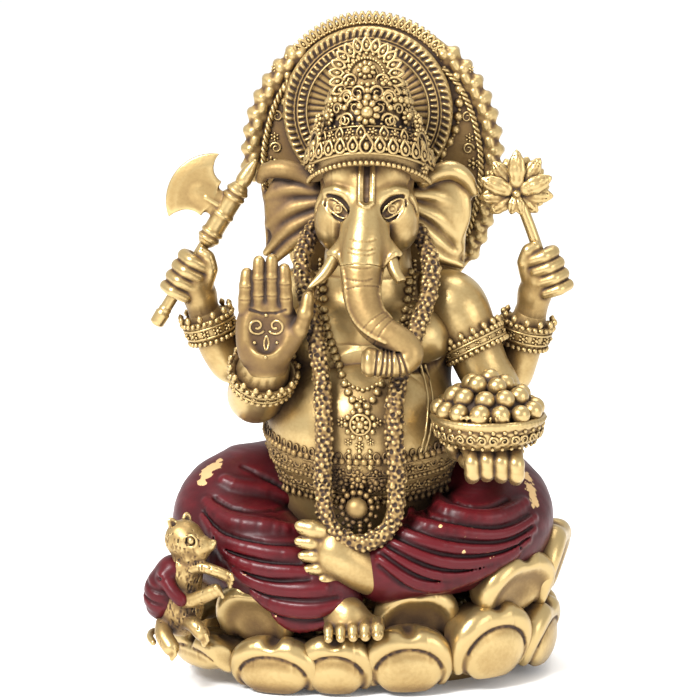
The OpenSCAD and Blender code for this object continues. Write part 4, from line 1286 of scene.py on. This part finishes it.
BOWL_PROFILE = ((0.2, 3), (0, 7.6), (0.5, 8.6), (1.2, 8.4), (1.8, 9.6), (2.6, 11.6), (3.4, 13.2), (4.2, 14.2),
                (5, 14.9), (5.8, 15.4),
                (6.6, 15.8), (7.4, 16.1), (8.2, 16.3), (9, 16.4), (9.6, 16.9), (10.2, 17.3), (11.0, 17.5),
                (11.8, 17.3), (12.1, 16.6),
                # height and radius, in mm
                (11.6, 15.6), (9.6, 14.4), (6, 13), (3.6, 10.6), (2.6, 5), (2.5, 1))


def bowl():
    """A turned bowl with a wavy relief and a roped rim, then its curls and beads, then the sweets."""
    low, high, mid = box_mm("sweets_bowl")
    base = np.array([mid[0], mid[1], low[2]])
    body, jewels = Trim(), Trim()
    a, grid = around(180), []
    for z, r in BOWL_PROFILE:
        wave = 0.45 * np.sin(a * 26 + 2.2 * math.sin(z * 1.5)) * math.exp(-((z - 6.2) / 2.2) ** 2)
        rope = 0.3 * np.sin(a * 60 + z * 3) * math.exp(-((z - 11) / 0.9) ** 2)
        wide = r + (wave + rope)
        grid.append(np.stack([base[0] + wide * np.cos(a), base[1] + wide * np.sin(a), base[2] + z + 0 * a], -1))
    body.sheet(np.array(grid))
    cast(body, "sweets_bowl")
    for k in range(30):
        way = np.array([math.cos(TAU * k / 30), math.sin(TAU * k / 30), 0])
        scroll(jewels, base + way * 16.3 + (0, 0, 6.4), side_frame(way + (0, 0, -0.2)), 1.5, 0.45,
               1 if k % 2 else -1)
        jewels.bead(base + way * 16.6 + (0, 0, 9.0), 0.7)
        jewels.bead(base + way * 14.2 + (0, 0, 3.6), 0.6)
    cast(jewels, "bowl_trim", node="sweets_bowl")
    sweets(base + (0, 0, high[2] - low[2]))


def sweets(top):
    """A heap of round sweets, all resting on one another, with a few leaves at one side."""
    clay = Clay(top - (19, 19, 5), top + (19, 19, 14), MEDIUM)
    seeds = np.random.default_rng(3)
    for r, count, z, start in ((14.3, 14, 1.6, 0.1), (10.0, 10, 5.6, 0.3), (5.0, 5, 8.8, 0.2)):
        for k in range(count):
            a = TAU * (k + start) / count
            jitter = seeds.uniform(-0.4, 0.4, 3)
            clay.ball(top + (r * math.cos(a), r * math.sin(a), z) + jitter, 3.1 + seeds.uniform(-0.2, 0.2),
                      blend=0.1)
    clay.ball(top + (0.4, -0.6, 10.7), 3.0, blend=0.1)
    clay.egg(top, (13.4, 13.4, 7.5), blend=0.3)
    for k in range(9):
        a = -2.1 + 0.12 * k
        start = top + (15.4 * math.cos(a), 15.4 * math.sin(a), -0.8)
        clay.path([start, start + (-0.6 * k / 9, -1.2, 1.8), start + (1.8 - 0.4 * k, -1.9, 2.6)], 0.4,
                  blend=0.2)
    cast(clay, "sweets")


# ---------------------------------------------------------------- mouse
LIMBS = (((-52, -42, 39.4), (-48, -43.6, 40.4), (-44, -44.4, 39.4), (-40.8, -44.8, 38.2), 1.7),
         ((-56.5, -41.2, 30.6), (-52.4, -44.2, 30), (-48.4, -45.6, 31.6), (-44, -46.8, 34), 2.15),
         ((-60.5, -39.5, 21.5), (-60, -43.6, 19), (-57.6, -46.4, 16), 2.6),
         # arms and legs: points, then their radius
         ((-53.4, -41, 23), (-50.4, -45.4, 22.8), (-48, -47, 20.6), 2.3))


def mouse():
    """The mouse that looks up from beside the right knee, in its cloak."""
    clay = Clay(at(-70, -56, 10), at(-36, -22, 60), FINE)
    clay.egg(at(-55.5, -36.5, 27), (7.0, 7.4, 10))
    clay.egg(at(-54, -38.6, 37), (5.6, 5.2, 7.4), rotation(8, 6, 0), blend=3)
    clay.egg(at(-54, -39.4, 48.2), (6.0, 5.2, 6.0), rotation(0, 12, 0), blend=2.2)
    clay.path([at(-52.4, -40.6, 47.4, 4.9), at(-48.6, -42, 46.6, 3.3), at(-45.6, -42.8, 47.2, 1.7)], blend=1.4,
              own=1.5)
    clay.path([at(-52, -41.6, 43.4, 2.8), at(-48.2, -42.6, 43.9, 1.6)], blend=1.0)
    clay.ball(at(-44.6, -43, 48), 0.95, blend=0.3)
    clay.path([at(-50.4, -46.4, 44.4), at(-47.6, -45.4, 44.6), at(-45.2, -44.4, 45.4)], 0.3, blend=0.4,
              cut=True)
    for ear, tilt in ((at(-57.4, -40, 53.0), -30), (at(-53.4, -37, 53.8), 0)):
        turn = rotation(-10, tilt, 20)
        clay.egg(ear, (1.5, 1.0, 2.2), turn, blend=0.8)
        clay.egg(ear + turn @ np.array([0, -1.0, 0.2]), (0.8, 0.6, 1.4), turn, blend=0.4, cut=True)
    for way in (1, -1):
        eye = clay.touch(at(-51.4, -41 - 12 * way, 48.8), (0, way, 0), 14)
        clay.ball(eye, 1.7, blend=0.7, cut=True)
        clay.ball(eye + (0, 0.9 * way, 0), 1.25)
        clay.ring(eye + (0, 0.25 * way, 0), (0.25, 1, 0), 1.85, 0.4, blend=0.5)
    for *line, r in LIMBS:
        clay.path(bent(line, 4), r, blend=1.2)
        tip = at(*line[-1])
        heading = unit(tip - at(*line[-2]))
        across = np.cross(heading, (0, 1, 0.4))
        for s in (-1, 0, 1):
            clay.path([tip + across * s * 0.9, tip + heading * 1.3 + across * s * 1.3 + (0, -0.7, -0.2),
                       tip + heading * 1.8 + across * s * 1.4 + (0, -0.4, -1.4)], 0.7, blend=0.3)
    clay.path(bent([(-60, -31, 17), (-64.4, -33, 17.4), (-65, -37.6, 17), (-63.6, -41, 16)], 5), 1.0, blend=0.6)
    seeds = np.random.default_rng(9)
    for _ in range(1300):     # fur: short strokes cut into the front and sides
        way = unit(seeds.normal(size=3))
        if way[1] > 0.75:
            continue
        middle = at(-53.6, -37, seeds.uniform(17, 51))
        start = middle + way * (1, 1, 0.2) * 14
        hit = clay.touch(start, middle - start, 14)
        if hit is not None:
            along = np.array([seeds.uniform(-0.35, 0.35), seeds.uniform(-0.2, 0.2), -1])
            clay.path([hit, hit + along * 1.5], 0.16, blend=0.2, cut=True)
    cast(clay, "mouse")
    cloak = clay.twin(np.full(clay.d.shape, FAR, np.float32))
    cloak.egg(at(-60.8, -36.4, 30.6), (6.2, 7.2, 8.6), rotation(0, 8, 0))
    cloak.egg(at(-57.6, -38, 38.6), (4.8, 5.6, 4.2), blend=3)
    cloak.path(bent([(-60, -42.4, 37), (-57, -44.6, 33), (-54.5, -45.6, 30.6)], 5), 2.0, blend=2.0)
    for k in range(4):
        z = 23.6 + 4.2 * k
        cloak.path(bent([(-67, -35, z + 4), (-64.6, -41.6, z + 1.6), (-59.4, -44, z)], 4), 0.3, blend=1.2,
                   cut=True)
    cast(cloak, "mouse_cloak", "red_cloth")


# ---------------------------------------------------------------- everything is built here
chest = body_clay(COARSE)
head()
tusks()
ears()
torso()
arms()
palm_hand()
fist("rear_right_hand", -1, (-54.6, -0.5, 122.3), (0.52, 0, 0.85), (-51.6, 1.6, 112))
fist("rear_left_hand", 1, (54.0, -0.5, 124.6), (-0.42, 0, 0.9), (50.8, 1.6, 112.5))
bowl_hand()
feet()
for node, shape in LEGS.items():
    leg(node, *shape)
for kind, ring in PETALS.items():
    for k, (wide, heading) in enumerate(ring):
        petal(f"{kind}_petal_{k + 1:02d}", kind == "upper", wide, math.radians(heading))
core()
garland()
necklace(chest)
belt(chest)
for node, bands in BRACELETS.items():
    trim = Trim()
    for band in bands:
        bracelet(trim, *band)
    cast(trim, node, "gold_ornament")
crown()
halo()
arch()
axe()
lotus()
bowl()
mouse()


# ---------------------------------------------------------------- where the surface is hollow or raised
FINE_STEPS, BROAD_STEPS = 5, 36     # rounds of smoothing after which each relief is read off


def store(mesh, name, values):
    mesh.attributes.new(name, "FLOAT", "POINT").data.foreach_set("value", values.astype(np.float32))


def note_relief(mesh):
    """Stores at each vertex how far a smoothed surface lies outside the real one, in mm: hollows are positive."""
    n = len(mesh.vertices)
    co, normal = np.empty(n * 3, np.float32), np.empty(n * 3, np.float32)
    edges = np.empty(len(mesh.edges) * 2, np.int32)
    mesh.vertices.foreach_get("co", co)
    mesh.vertices.foreach_get("normal", normal)
    mesh.edges.foreach_get("vertices", edges)
    co, normal, edges = co.reshape(-1, 3).astype(float) / MM, normal.reshape(-1, 3), edges.reshape(-1, 2)
    a, b = np.concatenate([edges, edges[:, ::-1]]).T
    order = np.argsort(a, kind="stable")
    a, b = a[order], b[order]
    count = np.maximum(np.bincount(a, minlength=n), 1)[:, None]
    smooth = co.copy()
    for step in range(1, BROAD_STEPS + 1):
        smooth = 0.35 * smooth + 0.65 * (np.stack([np.bincount(a, smooth[b, k], n) for k in range(3)],
                                                  1) / count)
        if step in (FINE_STEPS, BROAD_STEPS):
            store(mesh, "relief_fine" if step == FINE_STEPS else "relief_broad",
                  ((smooth - co) * normal).sum(1))


# ---------------------------------------------------------------- materials
class Graph:
    """Builds a node material: each method adds one node and returns its output."""

    def __init__(self, name):
        self.material = bpy.data.materials.new(name)
        self.material.use_nodes = True
        self.tree = self.material.node_tree
        self.shader = self.tree.nodes["Principled BSDF"]
        self.place = self.node("ShaderNodeTexCoord").outputs["Object"]

    def node(self, kind, inputs=(), **settings):
        made = self.tree.nodes.new(kind)
        for key, value in settings.items():
            setattr(made, key, value)
        self.feed(made, inputs)
        return made

    def feed(self, node, inputs):
        """Links or sets a node's inputs, given as (name or number, value)."""
        for key, value in inputs:
            if isinstance(value, bpy.types.NodeSocket):
                self.tree.links.new(value, node.inputs[key])
            else:
                node.inputs[key].default_value = value

    def math(self, operation, a, b=0.0, clamp=False):
        return self.node("ShaderNodeMath", ((0, a), (1, b)), operation=operation, use_clamp=clamp).outputs[0]

    def add(self, *values, clamp=False):
        total = values[0]
        for k, value in enumerate(values[1:]):
            total = self.math("ADD", total, value, clamp and k == len(values) - 2)
        return total

    def spread(self, value, low, high, to_low=0.0, to_high=1.0):
        return self.node("ShaderNodeMapRange", enumerate((value, low, high, to_low, to_high))).outputs[0]

    def noise(self, scale, detail=3.0, rough=0.55, stretch=None):
        place = self.place
        if stretch:
            place = self.node("ShaderNodeMapping", (("Vector", place), ("Scale", stretch))).outputs[0]
        return self.node("ShaderNodeTexNoise", (("Vector", place), ("Scale", scale), ("Detail", detail),
                                                ("Roughness", rough))).outputs["Fac"]

    def ramp(self, value, stops):
        made = self.node("ShaderNodeValToRGB", ((0, value),))
        marks = made.color_ramp.elements
        while len(marks) < len(stops):
            marks.new(0.5)
        for mark, (where, colour) in zip(marks, stops):
            mark.position, mark.color = where, (*colour, 1)
        return made.outputs[0]

    def relief(self, which):
        return self.node("ShaderNodeAttribute", attribute_name=which).outputs["Fac"]

    def occlusion_shade(self, reach):
        """Painted shade from ambient occlusion: 1 deep in a nook, 0 in the open."""
        made = self.node("ShaderNodeAmbientOcclusion", (("Distance", reach),), samples=6)
        return self.math("SUBTRACT", 1.0, made.outputs["AO"])

    def bump(self, height, strength, distance):
        made = self.node("ShaderNodeBump", (("Height", height), ("Strength", strength), ("Distance", distance)))
        self.feed(self.shader, (("Normal", made.outputs[0]),))

    def finish(self, colour, rough, metal):
        self.feed(self.shader, (("Base Color", colour), ("Roughness", rough), ("Metallic", metal)))
        return self.material


GOLD_STOPS = ((0.0, (0.445, 0.323, 0.143)), (0.20, (0.326, 0.220, 0.088)), (0.45, (0.188, 0.114, 0.039)),
              # rubbed bright to dark brown patina; the darkest stops also give the painted shade in nooks
              (0.75, (0.100, 0.052, 0.019)), (1.0, (0.026, 0.012, 0.005)))
# dark red lacquer down to near black; the dark end is also the painted shade in the folds
RED_STOPS = ((0.0, (0.075, 0.0055, 0.008)), (0.35, (0.039, 0.0026, 0.0042)), (0.8, (0.017, 0.0012, 0.0019)),
             (1.0, (0.007, 0.0007, 0.001)))
BARE_GOLD = (0.60, 0.40, 0.19, 1)
EXTRA_WASH_AND_SHADE = {     # more or less dark wash on a piece than on the others of its material: partly the piece's own tone, partly painted shade, as on the belt under the belly and in the cupped palm
    "belt": 0.50, "belt_jewels": 0.50, "right_ear": 0.42, "left_ear": -0.12, "crown": 0.30,
    "crown_jewels": 0.24,
    "crown_fan": 0.15, "halo_disc": 0.15, "back_arch": 0.06, "arch_trim": 0.08, "garland": 0.14,
    "sweets_bowl": 0.28,
    "bowl_trim": 0.28, "sweets": 0.14, "front_left_hand": 0.12, "front_right_hand": 0.44, "palm_flourish": 0.38,
    "trunk": 0.27, "mouse": 0.2, "necklace": 0.12, "rear_right_bracelet": 0.1, "rear_left_bracelet": 0.12,
    "front_right_bracelet": 0.12, "armlets": 0.1, "torso": -0.06, "rear_left_arm": 0.1, "rear_right_arm": 0.1,
    "rear_right_hand": 0.08, "rear_left_hand": 0.12}
PETAL_WASH_AND_SHADE = 0.08


def gold(name, extra_wash_and_shade, rough, reach):
    """Gold paint with a dark brown patina in the hollows and painted shade from ambient occlusion in nooks and
    between pieces, rubbed bright on whatever stands out. reach is how strongly.
    """
    g = Graph(name)
    blotch, grain = g.noise(70, 4), g.noise(900, 2)
    broad = g.spread(g.relief("relief_broad"), -0.30, 0.34, -0.40 * reach, 0.50 * reach)
    fine = g.spread(g.relief("relief_fine"), -0.09, 0.10, -0.30 * reach, 0.40 * reach)
    # painted shade: ambient occlusion darkens nooks and the gaps between pieces
    occlusion_shade = g.spread(g.occlusion_shade(0.006), 0.10, 0.75, 0.0, 0.85)
    # the piece's extra dark wash and painted shade, varied in blotches
    patch = g.add(g.relief("extra_wash_and_shade"), g.spread(blotch, 0.3, 0.7, extra_wash_and_shade - 0.08, extra_wash_and_shade + 0.10))
    # the dark wash: brown patina in hollows, rubbed bright where raised, with the painted shade added in
    wash_and_shade = g.add(g.add(g.add(broad, fine, occlusion_shade), patch), g.spread(grain, 0.3, 0.7, -0.04, 0.04), clamp=True)
    g.bump(g.add(g.math("MULTIPLY", grain, 0.5), blotch), 0.18, 0.0006)
    return g.finish(g.ramp(wash_and_shade, GOLD_STOPS), g.spread(wash_and_shade, 0.0, 0.9, rough, 0.74),
                    g.spread(wash_and_shade, 0.2, 0.9, 0.86, 0.25))


def red_lacquer(name):
    """Dark red lacquer, streaked along its folds, darker in their hollows with painted shade from ambient
    occlusion, and rubbed through to gold on the knees and a few folds.
    """
    g = Graph(name)
    g.shader.inputs["Specular IOR Level"].default_value = 0.18
    streak, grain, edge = g.noise(95, 5, 0.6, (1.0, 1.0, 2.2)), g.noise(700, 2), g.noise(330, 4, 0.65)
    # the dark wash: dark streaks, darker fold hollows, and painted shade from ambient occlusion
    wash_and_shade = g.add(g.spread(g.relief("relief_broad"), -0.35, 0.4, -0.4, 0.6),
                 g.spread(g.occlusion_shade(0.007), 0.2, 0.9, 0.0, 0.5),
                 g.spread(streak, 0.3, 0.7, 0.12, 0.46), clamp=True)
    spots = 0.0
    for centre, reach in KNEE_WEAR:
        away = g.node("ShaderNodeVectorMath", ((0, g.place), (1, tuple(centre * MM))), operation="DISTANCE")
        near = g.spread(away.outputs["Value"], 1.55 * reach * MM, 0.3 * reach * MM)
        spots = g.math("MAXIMUM", spots, near)
    knees = g.add(g.math("MULTIPLY", spots, 0.72), g.spread(edge, 0.35, 0.65, -0.26, 0.16))
    ridges = g.add(g.spread(g.relief("relief_fine"), -0.02, -0.14, 0.0, 0.24),
                   g.spread(g.noise(45), 0.5, 0.75, 0.0, 0.24),
                   g.spread(edge, 0.35, 0.65, -0.3, 0.12))
    bare = g.spread(g.math("MAXIMUM", knees, ridges), 0.36, 0.44)
    colour = g.node("ShaderNodeMix", data_type="RGBA")
    g.feed(colour, ((0, bare), (6, g.ramp(wash_and_shade, RED_STOPS)), (7, BARE_GOLD)))
    g.bump(g.add(g.math("MULTIPLY", grain, 0.4), streak), 0.2, 0.0005)
    rough = g.add(g.spread(wash_and_shade, 0.0, 1.0, 0.30, 0.6), g.math("MULTIPLY", bare, 0.12))
    return g.finish(colour.outputs[2], rough, g.math("MULTIPLY", bare, 0.6))


# the second number is each material's base level of dark wash, partly painted shade
SLOTS = {"gold_resin": gold("gold_resin", 0.14, 0.30, 0.8),
         "gold_ornament": gold("gold_ornament", 0.34, 0.38, 0.85),
         "gold_garland": gold("gold_garland", 0.46, 0.42, 0.8), "red_cloth": red_lacquer("red_cloth")}
for piece in PIECES:
    name = piece.name.removeprefix("cast_")
    note_relief(piece.data)
    # one value of extra dark wash and painted shade for the whole piece
    extra_wash_and_shade = PETAL_WASH_AND_SHADE if "_petal_" in name else EXTRA_WASH_AND_SHADE.get(name, 0.0)
    store(piece.data, "extra_wash_and_shade", np.full(len(piece.data.vertices), extra_wash_and_shade))
    piece.data.materials.append(SLOTS[piece["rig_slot"]])

# ---------------------------------------------------------------- floor, light and camera
paint = Graph("floor_paint")
paint.finish(paint.ramp(paint.noise(3, 2), ((0.3, (0.93, 0.93, 0.93)), (0.7, (0.96, 0.96, 0.96)))), 0.7, 0.0)
paint.feed(paint.shader, (("Emission Color", (1, 1, 1, 1)), ("Emission Strength", 0.06)))
bpy.ops.mesh.primitive_plane_add(size=20, location=(0, 0, 0))
floor = bpy.context.object
floor.name = "floor"
floor.data.materials.append(paint.material)

scene = bpy.context.scene
scene.view_settings.view_transform = "Standard"
scene.world = bpy.data.worlds.new("studio")
scene.world.use_nodes = True
sky = scene.world.node_tree.nodes["Background"]
sky.inputs["Strength"].default_value = 1.0
sky.inputs["Color"].default_value = (1, 1, 1, 1)

LIGHTS = (("key", (-0.55, -0.75, 0.85), 26, 0.36), ("fill", (0.75, -0.6, 0.35), 3, 0.5),
          ("top", (0.1, 0.2, 0.95), 4, 0.5))
AIM = Vector((0, 0, 0.1))     # what the lamps point at
for name, place, power, size in LIGHTS:
    lamp = bpy.data.lights.new(name, "AREA")
    lamp.energy, lamp.size = power, size
    light = bpy.data.objects.new(name, lamp)
    scene.collection.objects.link(light)
    light.location = place
    light.rotation_mode = "QUATERNION"
    light.rotation_quaternion = (AIM - light.location).to_track_quat("-Z", "Y")

AZIMUTH, ELEVATION = math.radians(3), math.radians(10)
DISTANCE, SPAN = 1.0, 0.21875     # m: from the camera to its target, and seen across there
TARGET = Vector((-0.0056, 0, 0.100))
back = Vector((math.sin(AZIMUTH) * math.cos(ELEVATION), -math.cos(AZIMUTH) * math.cos(ELEVATION),
               math.sin(ELEVATION)))
lens = bpy.data.cameras.new("camera")
lens.sensor_width = 36
lens.lens = lens.sensor_width * DISTANCE / SPAN
camera = bpy.data.objects.new("camera", lens)
scene.collection.objects.link(camera)
camera.location = TARGET + back * DISTANCE
camera.rotation_mode = "QUATERNION"
camera.rotation_quaternion = (-back).to_track_quat("-Z", "Y")
scene.camera = camera
